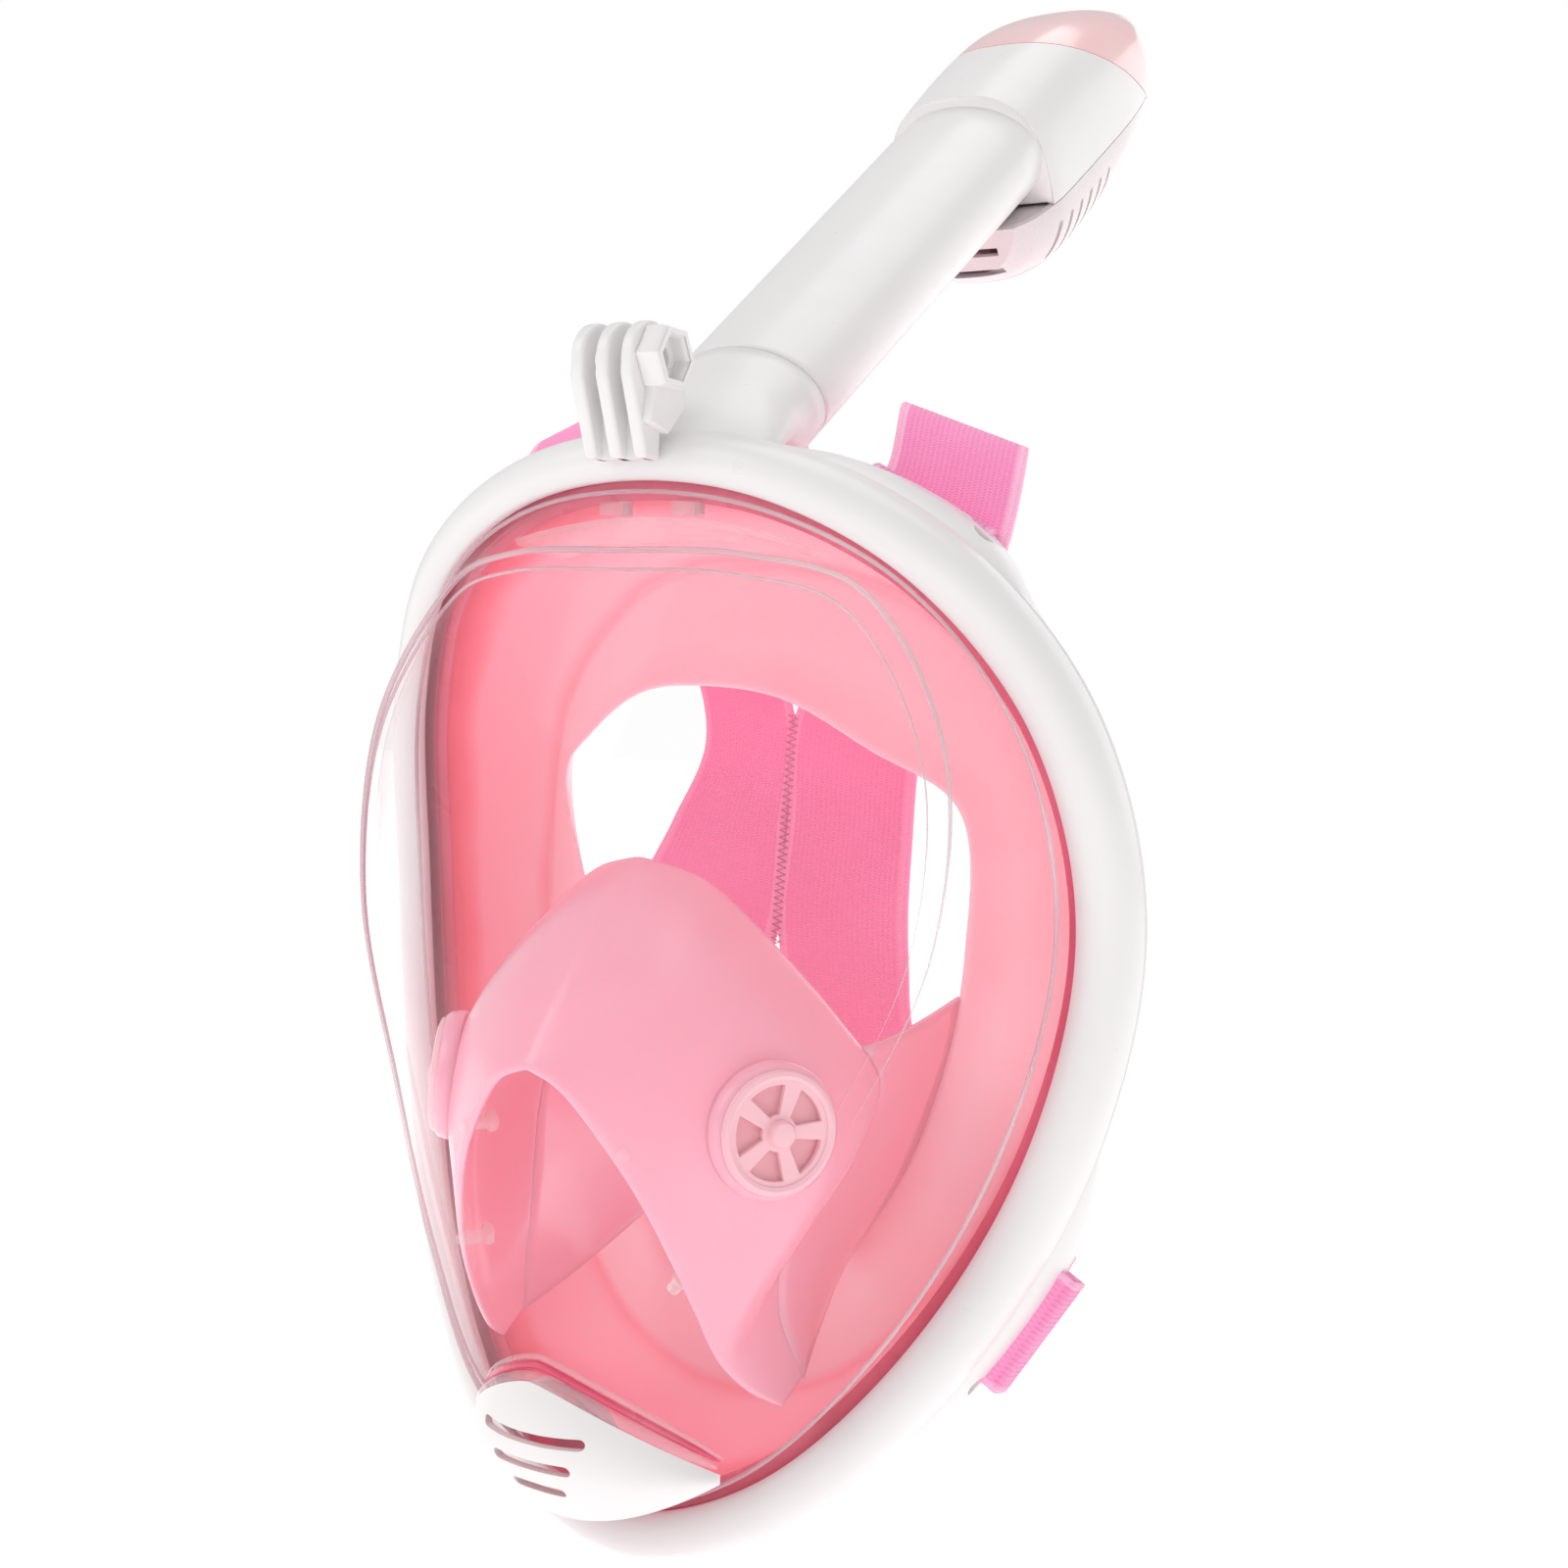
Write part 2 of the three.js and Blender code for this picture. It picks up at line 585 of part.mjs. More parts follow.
function snorkelSocket() {
  const shell = loft([...socketRings(0), ...socketRings(TUBE_WALL).reverse()], true);
  const knuckles = [[7.3, 13], [-13, -7.3]].flatMap(([low, high]) => [
    barAlongX(FOLD_BARREL_RADIUS, low, high, HINGE_Y, 0),
    box(high - low, 7.2, 3.2, (low + high) / 2, HINGE_Y - 3.6, -2),
  ]).map((piece) => piece.applyMatrix4(snorkelFrame));
  const pinHole = barAlongX(PIN_RADIUS + 0.25, -14, 14, HINGE_Y, 0).applyMatrix4(snorkelFrame);
  const barrelRoom = barAlongX(FOLD_BARREL_RADIUS + 0.5, -7.2, 7.2, HINGE_Y, 0).applyMatrix4(snorkelFrame);
  const mountRoom = box(25, 20, 30, 0, MOUNT_EYE.y + 1.2, 120);
  return combine(shell, knuckles, [pinHole, barrelRoom, mountRoom]);
}

function hingePin() {
  return barAlongX(PIN_RADIUS, -13, 13, HINGE_Y, 0, 12).applyMatrix4(snorkelFrame);
}

// Outer shape of the head: [height, front reach, back reach, half width].
const HEAD_SECTIONS = [
  [120, -15.4, 27, 16.5], [126, -17, 31.5, 20.5], [138, -17.6, 35, 23.5], [165, -18.4, 35.5, 25],
  [190, -17, 32.5, 25.8], [212, -12.2, 26, 24.5], [227, -6.5, 19, 20], [234, -3, 13, 13]];
const HEAD_EXPONENT = 2.6;       // squareness of the head's sections
const COVER_FLOOR = 14.5;        // seam between cover and valve housing, towards the back
const COVER_START = 134;         // front edge of the cover on the tube
const CAP_START = 192;           // seam of the end cap on the tube's axis
const CAP_SLANT = 51;            // degrees that the cap's seam leans

function headRing([z, front, back, half], inset, lift = 0) {
  const count = 22;
  const middle = (front + back) / 2;
  const depth = (back - front) / 2 - inset;
  const round = (value) => Math.sign(value) * Math.abs(value) ** (2 / HEAD_EXPONENT);
  return Array.from({ length: count }, (_, i) => {
    const angle = (i / count) * Math.PI * 2;
    return vec((half - inset) * round(Math.cos(angle)), middle + depth * round(Math.sin(angle)), z + lift);
  });
}

function headShell() {
  const outer = loft(HEAD_SECTIONS.map((section) => headRing(section, 0)));
  const last = HEAD_SECTIONS.length - 1;
  const lifts = HEAD_SECTIONS.map((_, i) => (i === 0 ? HEAD_WALL : 0) - (i === last ? HEAD_WALL : 0));
  const inner = loft(HEAD_SECTIONS.map((section, i) => headRing(section, HEAD_WALL, lifts[i])));
  return combine(outer, [], [inner]);
}

function capSpace(shift) {
  const space = box(120, 120, 120, 0, 0, 60);
  return space.rotateX(THREE.MathUtils.degToRad(CAP_SLANT)).translate(0, 0, CAP_START + shift);
}

function tubeRoom() {
  return loft([tubeRing(90, -GAP), tubeRing(TUBE_LENGTH + GAP, -GAP)]);
}

function ventSlots() {
  const sides = [-1, 1].flatMap((side) => Array.from({ length: 6 }, (_, i) => (
    box(16, 11, 2.2, side * 24, 25.5, 136 + 7 * i))));
  const underside = [20.5, 26.5].map((y) => box(20, 2.2, 12, 0, y, 118));
  return [...sides, ...underside];
}

// The largest of a solid's separate bodies.
function largest(body) {
  return body.decompose().reduce((best, piece) => (piece.volume() > best.volume() ? piece : best));
}

function headPart(shell, keep, cutters) {
  const body = cutters.reduce((rest, cutter) => rest.subtract(solid(cutter)), solid(shell).intersect(solid(keep)));
  return geometryOf(largest(body));
}

function addHead(group) {
  const shell = headShell();
  const coverSpace = box(120, 60, 200, 0, COVER_FLOOR - GAP - 30, COVER_START + 100);
  const housingSpace = box(120, 60, 200, 0, COVER_FLOOR + 30, 200);
  const behindCap = capSpace(-GAP);
  addPiece('head_cover', headPart(shell, coverSpace, [behindCap, tubeRoom()]), 'white', group);
  addPiece('head_cap', headPart(shell, capSpace(0), []), 'pale', group);
  addPiece('valve_housing', headPart(shell, housingSpace, [behindCap, tubeRoom(), ...ventSlots()]), 'white', group);
}

function roundedBlock(halfWidth, halfDepth, low, high, y) {
  return loft([oval(halfWidth, halfDepth, low, y), oval(halfWidth, halfDepth, high, y)]);
}

function addHeadInsides(group) {
  const chamberY = 25;
  const portZ = 170;
  const post = bar(2, 126.5, portZ - 0.5, 12).translate(0, chamberY, 0);
  const room = bar(2.4, 100, 200, 12).translate(0, chamberY, 0);
  const mouth = bar(5, 160, 190, 20).translate(0, chamberY, 0);
  const grid = spokedWheel(5.6, 1.8, 4).translate(0, chamberY, portZ);
  const plate = combine(box(27, 11.6, 1.8, 0, chamberY - 1.6, portZ + 0.9), [], [mouth]);
  const divider = box(1.4, 2 * TUBE_HALF_DEPTH - 9, TUBE_LENGTH - 12, 9, 0, TUBE_LENGTH / 2);
  const seal = [tubeRing(-1.8, 2.6), tubeRing(0.2, 2.6), tubeRing(0.2, 4.2), tubeRing(-1.8, 4.2)];
  addPiece('port_plate', combine(plate, [grid]), 'pale', group);
  addPiece('float_guide_post', post, 'pale', group);
  addPiece('float', combine(roundedBlock(14, 7.5, 140, 160, chamberY), [], [room]), 'pale', group);
  addPiece('float_seal', combine(roundedBlock(11.5, 7.2, 160.4, 162.4, chamberY), [], [room]), 'coral', group);
  addPiece('head_divider', box(34, 1.4, 42, 0, COVER_FLOOR + 1.9, 149), 'white', group);
  addPiece('tube_divider', divider, 'white', group);
  addPiece('exhale_valve_seat', spokedWheel(8.5, 1.4, 4).translate(-8, -3, 146), 'pale', group);
  addPiece('exhale_flap', disc(7, 147.8, 148.6).translate(-8, -3, 0), 'coral', group);
  addPiece('socket_seal', loft(seal, true), 'coral', group);
}

function addSnorkel() {
  const group = new THREE.Group();
  snorkelFrame.decompose(group.position, group.quaternion, group.scale);
  model.add(group);
  addPiece('snorkel_tube', snorkelTube(), 'white', group);
  addHead(group);
  addHeadInsides(group);
}

// ---- strap harness ----
function strapLoop(t, length) {
  const shape = new THREE.Shape();
  shape.moveTo(-6, -4.6);
  shape.lineTo(6, -4.6);
  shape.lineTo(6, 5.8);
  shape.lineTo(-6, 5.8);
  const hole = new THREE.Path();
  hole.moveTo(-4.8, -3.4);
  hole.lineTo(-4.8, 4.6);
  hole.lineTo(4.8, 4.6);
  hole.lineTo(4.8, -3.4);
  shape.holes.push(hole);
  const geometry = new THREE.ExtrudeGeometry(shape, { depth: length, bevelEnabled: false });
  return geometry.translate(0, 0, -length / 2).applyMatrix4(lugFrame(t, 10.6, BAR_BACK));
}

// Each band's two edges, as [inner, outer] pairs from the upper lug to the lower lug. The slack harness sways
// a little to the left, and its left band stands higher where it leaves the upper lug.
const BAND_TOP = {
  right: [
    [[36, 25, 104], [66, 25, 93]], [[35, 32, 120], [65, 33, 109]], [[31, 42, 118], [60, 42.5, 108]],
    [[21, 48.5, 97.5], [49, 49.5, 86.5]]],
  left: [
    [[-36, 25, 106], [-66, 25, 95]], [[-36, 34, 125], [-64, 34, 114]], [[-31, 43, 121], [-59, 43, 110]],
    [[-21, 48.5, 98], [-49, 49.5, 87]]],
};
const BAND_MIDDLE = {
  right: [
    [[10, 52, 73], [38.5, 52, 66]], [[1, 52.4, 50], [33.5, 52.4, 44]], [[0.5, 52.4, 26], [32.5, 52.4, 24]],
    [[-0.8, 52.4, 0], [32.8, 52.4, -2]], [[8, 55, -38], [36, 56, -27]], [[30, 57.5, -58], [53, 58, -37]]],
  left: [
    [[-10, 52, 73], [-31, 52, 66]], [[-1, 52.4, 50], [-24.4, 52.4, 44]], [[-1.7, 52.4, 26], [-33, 52.4, 24]],
    [[-3.4, 52.4, 0], [-43, 54, 7]], [[-14, 55, -31], [-52, 57, -15]], [[-31, 57.5, -55], [-59, 58, -34]]],
};
const BAND_FOOT = [
  [[50, 55.5, -74], [69, 56, -50]], [[63.5, 49, -82], [78, 49.5, -57.5]], [[68, 43.5, -88], [80.5, 43.5, -62.5]]];

function strapBand(side) {
  const sign = side === 'right' ? 1 : -1;
  const flipped = (pairs) => pairs.map((pair) => pair.map(([x, y, z]) => [x * sign, y, z]));
  const pairs = [...BAND_TOP[side], ...BAND_MIDDLE[side], ...flipped(BAND_FOOT)];
  const left = new THREE.CatmullRomCurve3(pairs.map((pair) => vec(...pair[sign > 0 ? 0 : 1])));
  const right = new THREE.CatmullRomCurve3(pairs.map((pair) => vec(...pair[sign > 0 ? 1 : 0])));
  const grid = Array.from({ length: BAND_STEPS + 1 }, (_, j) => {
    const ends = [left.getPoint(j / BAND_STEPS), right.getPoint(j / BAND_STEPS)];
    return [ends[0], ends[0].clone().lerp(ends[1], 0.5), ends[1]];
  });
  return sheetSolid(grid, STRAP_THICKNESS);
}

function addStraps() {
  for (const lug of LUGS) {
    addPiece(`strap_loop_${lug.name}_right`, strapLoop(lug.t, STRAP_WIDTH - 1), 'strap');
    addPiece(`strap_loop_${lug.name}_left`, strapLoop(1 - lug.t, STRAP_WIDTH - 1), 'strap');
  }
  addPiece('strap_right', strapBand('right'), 'strap');
  addPiece('strap_left', strapBand('left'), 'strap');
  addPiece('strap_seam', box(3.4, 1, 44, -0.7, 55.4, 28), 'thread');
}

// ---- assembly ----
addPiece('front_frame', frontFrame(), 'white');
addPiece('rear_frame', rearFrame(), 'white');
addPiece('lens', lensPiece(), 'clear');
addPiece('lens_gasket', lensGasket(), 'rim');
addPiece('skirt', skirtPiece(), 'coral');
addPiece('orinasal_pocket', pocketPiece(), 'milky');
for (const peg of PEGS) {
  addPiece(`pocket_peg_${peg.name}_right`, pegPiece(peg), 'clear');
  addPiece(`pocket_peg_${peg.name}_left`, mirrored(pegPiece(peg)), 'clear');
}
addInhaleValves();
addChinValve();
addPiece('duct_plate', ductPlate(), 'clear');
addPiece('duct_clip_right', ductClip(9), 'clear');
addPiece('duct_clip_left', ductClip(-9), 'clear');
addPiece('camera_mount', cameraMount(), 'white');
addPiece('snorkel_socket', snorkelSocket(), 'white');
addPiece('fold_hinge_pin', hingePin(), 'steel');
addStraps();
addSnorkel();

export default model;
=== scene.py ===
"""Looks of the full face snorkel mask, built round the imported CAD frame.

Lengths are millimetres in this script and metres in Blender. +Z is up, -Y is the lens, +Y faces the wearer.
"""
import math

import bmesh
import bpy
from mathutils import Matrix, Vector


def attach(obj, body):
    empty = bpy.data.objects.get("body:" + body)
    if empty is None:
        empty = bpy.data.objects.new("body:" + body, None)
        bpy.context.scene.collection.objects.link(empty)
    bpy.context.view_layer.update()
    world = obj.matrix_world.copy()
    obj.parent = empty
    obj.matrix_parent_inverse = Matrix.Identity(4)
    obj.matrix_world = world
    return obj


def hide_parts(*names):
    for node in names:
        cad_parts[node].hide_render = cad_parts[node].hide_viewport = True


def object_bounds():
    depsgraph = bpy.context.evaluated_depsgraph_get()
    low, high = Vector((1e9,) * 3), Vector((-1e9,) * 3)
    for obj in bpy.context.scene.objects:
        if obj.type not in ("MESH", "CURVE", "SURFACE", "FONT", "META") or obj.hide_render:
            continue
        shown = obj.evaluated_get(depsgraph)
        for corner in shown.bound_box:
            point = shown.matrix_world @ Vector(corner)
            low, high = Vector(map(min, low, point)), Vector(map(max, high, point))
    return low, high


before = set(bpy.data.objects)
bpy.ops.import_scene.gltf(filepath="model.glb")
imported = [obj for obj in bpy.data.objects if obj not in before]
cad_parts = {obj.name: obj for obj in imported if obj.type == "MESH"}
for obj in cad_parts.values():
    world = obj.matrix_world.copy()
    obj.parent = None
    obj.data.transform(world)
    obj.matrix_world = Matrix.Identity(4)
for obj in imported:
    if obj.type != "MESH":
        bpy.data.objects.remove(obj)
cad_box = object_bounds()

MM = 0.001

# ---- driving dimensions, as in the CAD ----
GAP = 0.3
FRAME_WIDTH = 11.4
FRAME_WALL = 2
FRAME_DEPTH = 12
REAR_DEPTH = 17
LUG_DEPTH = 13
LENS_THICKNESS = 2.2
FLANGE_BACK = 4.1
FLANGE_WIDTH = 8.7
LENS_BULGE = 23.5
SKIRT_THICKNESS = 2.2
POCKET_THICKNESS = 1.8
TUBE_LEAN = 53.4
TUBE_BASE = Vector((0, 24.6, 120.9))
TUBE_HALF_WIDTH = 20
TUBE_HALF_DEPTH = 13.8
TUBE_FLARE = 1.1
TUBE_LENGTH = 140
TUBE_WALL = 2.2
HINGE_Y = TUBE_HALF_DEPTH + 3.6
FOLD_BARREL_RADIUS = 3.2
HEAD_WALL = 2
STRAP_WIDTH = 30
STRAP_THICKNESS = 1.6
INHALE_CENTRE = Vector((41.7, -20.6, -29.7))
INHALE_NORMAL = Vector((0.843, -0.537, 0.05)).normalized()
INHALE_RADIUS = 12.5
CHIN_CENTRE = Vector((0, -29.5, -98))
CHIN_NORMAL = Vector((0, -0.95, -0.32)).normalized()
CHIN_RADIUS = 13
MOUNT_PITCH = 6.1
MOUNT_PRONG = 3
MOUNT_RADIUS = 7.5
MOUNT_EYE = Vector((0, -24, 122.3))
MOUNT_FOOT = 102.5
LUG_SPREAD = 0.045
LUGS = {"upper": (0.096, 35), "lower": (0.361, 33)}
SLOT_BACK = REAR_DEPTH + 4.4
SLOT_HEIGHT = 5.2
BAR_BACK = REAR_DEPTH + 10

# Outlines of the right half, from the top to the chin.
RIM = [(0, -18.6, 99), (31, -16.5, 94.3), (58.5, -7.5, 79.1), (78.3, 8.3, 50.8), (85.5, 20.2, 10.2),
       (78, 17.3, -36.4), (58.2, 3.5, -79.1), (30.6, -9, -108.7), (0, -13.4, -119.2)]
WINDOW = [(0, -25, 84), (29, -20.5, 83.5), (51, -13, 77.5), (70.5, -13.2, 48), (71.5, -16.2, 8),
          (55, -21.7, -33), (39, -26.3, -67), (21.5, -29.8, -93.5), (0, -31, -103)]
CREST = [(0, 34, 88), (29, 38, 84), (52, 45, 70), (70, 54, 46), (77, 60, 6),
         (69, 53, -36), (52, 43, -74), (28, 38, -100), (0, 36, -108)]
LIP = [(0, 12, 57), (18, 15, 55), (37, 22, 44.5), (52.5, 34, 33), (50.5, 45, -1),
       (45, 48, -28), (37, 45, -53), (22, 40, -74), (0, 35, -83)]
POCKET_REAR = [(0, -10, 21), (13.6, -6, 17), (26, -2, 6.5), (40, 8, -12), (43.5, 20, -27), (38.5, 9, -41),
               (33, 0, -57), (33, -2, -72), (37, 3, -87)]
POCKET_FRONT = [(0, -47.3, -19), (7, -46.6, -22), (14.5, -43.4, -31), (21.5, -38.6, -43), (26.5, -32.6, -57),
                (29, -27, -68), (30.5, -21, -78), (33.5, -13, -86), (36.5, -4.5, -91)]
PEGS = {"upper": (20.5, -34), "lower": (28.2, -61)}
HEAD_SECTIONS = [(120, -15.4, 27, 16.5), (126, -17, 31.5, 20.5), (138, -17.6, 35, 23.5),
                 (165, -18.4, 35.5, 25), (190, -17, 32.5, 25.8), (212, -12.2, 26, 24.5),
                 (227, -6.5, 19, 20), (234, -3, 13, 13)]
HEAD_EXPONENT = 2.6
COVER_FLOOR = 14.5
COVER_START = 134
CAP_START = 192
CAP_SLANT = 51
# The straps' two edges, as (inner, outer) pairs from the upper lug to the lower lug.
BAND_TOP = {
    "right": [((33.5, 22, 101), (65, 22, 84)), ((36, 25, 106), (66, 25, 93)),
              ((35, 32, 120), (65, 33, 109)),
              ((31, 42, 118), (60, 42.5, 108)), ((21, 48.5, 97.5), (49, 49.5, 86.5))],
    "left": [((-33.5, 22, 101), (-65, 22, 84)), ((-36, 25, 108), (-66, 25, 95)),
             ((-36, 34, 125), (-64, 34, 114)),
             ((-31, 43, 121), (-59, 43, 110)), ((-21, 48.5, 98), (-49, 49.5, 87))],
}
BAND_MIDDLE = {
    "right": [((10, 52, 73), (38.5, 52, 66)), ((0.2, 52.4, 50), (33.5, 52.4, 44)),
              ((-0.5, 52.4, 26), (32.5, 52.4, 24)), ((-1.8, 52.4, 0), (32.8, 52.4, -2)),
              ((8, 55, -38), (36, 56, -27)), ((30, 57.5, -58), (53, 58, -37))],
    "left": [((-10, 52, 73), (-31, 52, 66)), ((0, 52.4, 50), (-24.4, 52.4, 44)),
             ((-0.7, 52.4, 26), (-33, 52.4, 24)), ((-2, 52.4, 0), (-43, 54, 7)),
             ((-14, 55, -31), (-52, 57, -15)), ((-31, 57.5, -55), (-59, 58, -34))],
}
BAND_FOOT = [((50, 55.5, -74), (69, 56, -50)), ((63.5, 49, -82), (78, 49.5, -57.5)),
             ((68, 43.5, -88), (80.5, 43.5, -62.5))]


# ---- curves and placing ----
def vectors(rows):
    return [Vector(row) for row in rows]


def mirror(point):
    return Vector((-point.x, point.y, point.z))


def mirrored_loop(half):
    right = vectors(half)
    return right + [mirror(p) for p in reversed(right[1:-1])]


def catmull(points, t, closed=False):
    """The point at t, from 0 to 1, of a centripetal Catmull-Rom curve."""
    count = len(points)
    place = (count if closed else count - 1) * t
    i = int(math.floor(place))
    if not closed:
        i = min(i, count - 2)
    weight = place - i
    if closed:
        near = [points[(i + k) % count] for k in (-1, 0, 1, 2)]
    else:
        first = points[i - 1] if i > 0 else points[i] * 2 - points[i + 1]
        last = points[i + 2] if i + 2 < count else points[i + 1] * 2 - points[i]
        near = [first, points[i], points[i + 1], last]
    d0, d1, d2 = [max(math.sqrt((near[k + 1] - near[k]).length), 1e-4) for k in range(3)]
    p0, p1, p2, p3 = near
    leave = ((p1 - p0) / d0 - (p2 - p0) / (d0 + d1) + (p2 - p1) / d1) * d1
    arrive = ((p2 - p1) / d1 - (p3 - p1) / (d1 + d2) + (p3 - p2) / d2) * d1
    w = weight
    square = p1 * -3 + p2 * 3 - leave * 2 - arrive
    cube = p1 * 2 - p2 * 2 + leave + arrive
    return p1 + leave * w + square * w ** 2 + cube * w ** 3


RIM_LOOP = mirrored_loop(RIM)
WINDOW_LOOP = mirrored_loop(WINDOW)
CREST_LOOP = mirrored_loop(CREST)
LIP_LOOP = mirrored_loop(LIP)


def outward_at(loop, t):
    ahead = catmull(loop, (t + 0.002) % 1, True)
    behind = catmull(loop, (t + 0.998) % 1, True)
    return Vector((behind.z - ahead.z, 0, ahead.x - behind.x)).normalized()


def rim_point(t, out, back):
    point = catmull(RIM_LOOP, t, True) + outward_at(RIM_LOOP, t) * out
    return point + Vector((0, back, 0))


def turns(count):
    return [i / count for i in range(count)]


def steps(count):
    return [i / count for i in range(count + 1)]


def lug_rise(t):
    turn = min(t, 1 - t)
    return sum(math.exp(-(((turn - place) / LUG_SPREAD) ** 4)) for place, _ in LUGS.values())


def axes(right, up, forward, origin):
    """A frame from its three axes and its origin."""
    frame_matrix = Matrix((right, up, forward)).transposed().to_4x4()
    frame_matrix.translation = origin
    return frame_matrix


def lug_frame(t, out, back):
    along = (catmull(RIM_LOOP, (t + 0.01) % 1, True) - catmull(RIM_LOOP, (t + 0.99) % 1, True)).normalized()
    outward = outward_at(RIM_LOOP, t)
    return axes(outward, along.cross(outward), along, rim_point(t, out, back))


def facing(origin, direction):
    side = Vector((0, 0, 1)).cross(direction).normalized()
    return axes(side, direction.cross(side), direction, origin)


SNORKEL = Matrix.Translation(TUBE_BASE) @ Matrix.Rotation(math.radians(-TUBE_LEAN), 4, "X")
FLIP = Matrix.Scale(-1, 4, Vector((1, 0, 0)))


# ---- mesh building: a shape is (points, faces) ----
def loft(rings, wrap_rings=False, wrap_ring=True, fans=False):
    """Skins a list of equal rings."""
    size = len(rings[0])
    points = [p.copy() for ring in rings for p in ring]
    faces = []
    spans = len(rings) if wrap_rings else len(rings) - 1
    for j in range(spans):
        here = j * size
        after = ((j + 1) % len(rings)) * size
        for i in range(size if wrap_ring else size - 1):
            k = (i + 1) % size
            faces.append((here + i, here + k, after + k, after + i))
    if fans:
        for start in (0, (len(rings) - 1) * size):
            ring = points[start:start + size]
            hub = len(points)
            points.append(sum(ring, Vector()) / size)
            faces += [(hub, start + i, start + (i + 1) % size) for i in range(size)]
    return points, faces


def moved(shape, matrix):
    return [matrix @ p for p in shape[0]], shape[1]


def joined(*shapes):
    points = []
    faces = []
    for shape in shapes:
        offset = len(points)
        points += shape[0]
        faces += [tuple(i + offset for i in face) for face in shape[1]]
    return points, faces


def sweep_rim(section_at, count=180):
    rings = [[rim_point(t, out, back) for out, back in section_at(t)] for t in turns(count)]
    return loft(rings, wrap_rings=True)


def lathe(profile, sides=32):
    """Turns (radius, height) points about Z. The profile starts and ends near the axis."""
    rings = []
    for radius, height in profile:
        rings.append(oval(radius, radius, height, 0, sides))
    return loft(rings, fans=True)


def rounded_bar(radius, low, high, edge=0.4, sides=32):
    profile = [(radius - edge, low), (radius - edge * 0.3, low + edge * 0.3), (radius, low + edge),
               (radius, high - edge), (radius - edge * 0.3, high - edge * 0.3), (radius - edge, high)]
    return lathe(profile, sides)


def bead(path, radius, closed=False, sides=10, taper=0):
    """A thin round cord of material along a path. Over the last steps of the taper it narrows to nothing."""
    count = len(path)
    rings = []
    for i, point in enumerate(path):
        ahead = path[(i + 1) % count] if closed else path[min(i + 1, count - 1)]
        behind = path[i - 1] if closed else path[max(i - 1, 0)]
        along = (ahead - behind).normalized()
        side = along.cross(Vector((0, 1, 0))).normalized()
        lift = side.cross(along)
        near_end = min(1, (count - i) / taper) if taper else 1
        turn = [2 * math.pi * u for u in turns(sides)]
        rings.append([point + (side * math.cos(a) + lift * math.sin(a)) * radius * near_end for a in turn])
    return loft(rings, wrap_rings=closed, fans=not closed)


ALONG_X = Matrix.Rotation(math.pi / 2, 4, "Y")


def bar_along_x(radius, low, high, y, z, sides=32):
    return moved(rounded_bar(radius, low, high, 0.3, sides), Matrix.Translation((0, y, z)) @ ALONG_X)


def block(size_x, size_y, size_z, x=0, y=0, z=0):
    """A box for cutting and for small webs that sit inside larger shapes."""
    corner = Vector((size_x, size_y, size_z)) / 2
    ring = [Vector((sx * corner.x, sy * corner.y, 0)) for sx, sy in ((-1, -1), (1, -1), (1, 1), (-1, 1))]
    low = [p + Vector((x, y, z - corner.z)) for p in ring]
    high = [p + Vector((x, y, z + corner.z)) for p in ring]
    points, faces = loft([low, high])
    return points, faces + [(0, 1, 2, 3), (4, 5, 6, 7)]


def make_mesh(name, shape):
    mesh = bpy.data.meshes.new(name)
    mesh.from_pydata([p * MM for p in shape[0]], [], shape[1])
    tidy = bmesh.new()
    tidy.from_mesh(mesh)
    bmesh.ops.recalc_face_normals(tidy, faces=tidy.faces)
    tidy.to_mesh(mesh)
    tidy.free()
    return mesh


def new_object(name, mesh):
    thing = bpy.data.objects.new(name, mesh)
    bpy.context.scene.collection.objects.link(thing)
    return thing


def smooth(thing, angle=180):
    for polygon in thing.data.polygons:
        polygon.use_smooth = True
    if angle < 180:
        thing.data.set_sharp_from_angle(angle=math.radians(angle))


def piece(name, shape, look, body="mask", nodes=(), subdivide=0, angle=180):
    """A new visible piece: it rides on a body and stands for the CAD nodes named."""
    thing = new_object(name, make_mesh(name, shape))
    smooth(thing, angle)
    if subdivide:
        add_subdivision(thing, subdivide)
    dress(thing, look, body, nodes)
    return thing


def dress(thing, look, body, nodes):
    thing.data.materials.clear()
    thing.data.materials.append(look)
    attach(thing, body)
    if nodes:
        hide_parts(*nodes)


def add_subdivision(thing, levels):
    modifier = thing.modifiers.new("Smooth", "SUBSURF")
    modifier.levels = levels
    modifier.render_levels = levels


def add_bevel(thing, width, segments=2, angle=40):
    modifier = thing.modifiers.new("Edges", "BEVEL")
    modifier.width = width * MM
    modifier.segments = segments
    modifier.limit_method = "ANGLE"
    modifier.angle_limit = math.radians(angle)
    modifier.harden_normals = False


def add_thickness(thing, thickness, offset=-1):
    modifier = thing.modifiers.new("Thickness", "SOLIDIFY")
    modifier.thickness = thickness * MM
    modifier.offset = offset


def bake_modifiers(thing):
    graph = bpy.context.evaluated_depsgraph_get()
    mesh = bpy.data.meshes.new_from_object(thing.evaluated_get(graph))
    old = thing.data
    thing.modifiers.clear()
    thing.data = mesh
    bpy.data.meshes.remove(old)


def cut(thing, shapes):
    """Cuts closed shapes out of an object, for good."""
    tool = new_object("cutter", make_mesh("cutter", joined(*shapes)))
    modifier = thing.modifiers.new("Cut", "BOOLEAN")
    modifier.operation = "DIFFERENCE"
    modifier.solver = "EXACT"
    modifier.use_self = True
    modifier.object = tool
    bake_modifiers(thing)
    bpy.data.objects.remove(tool)


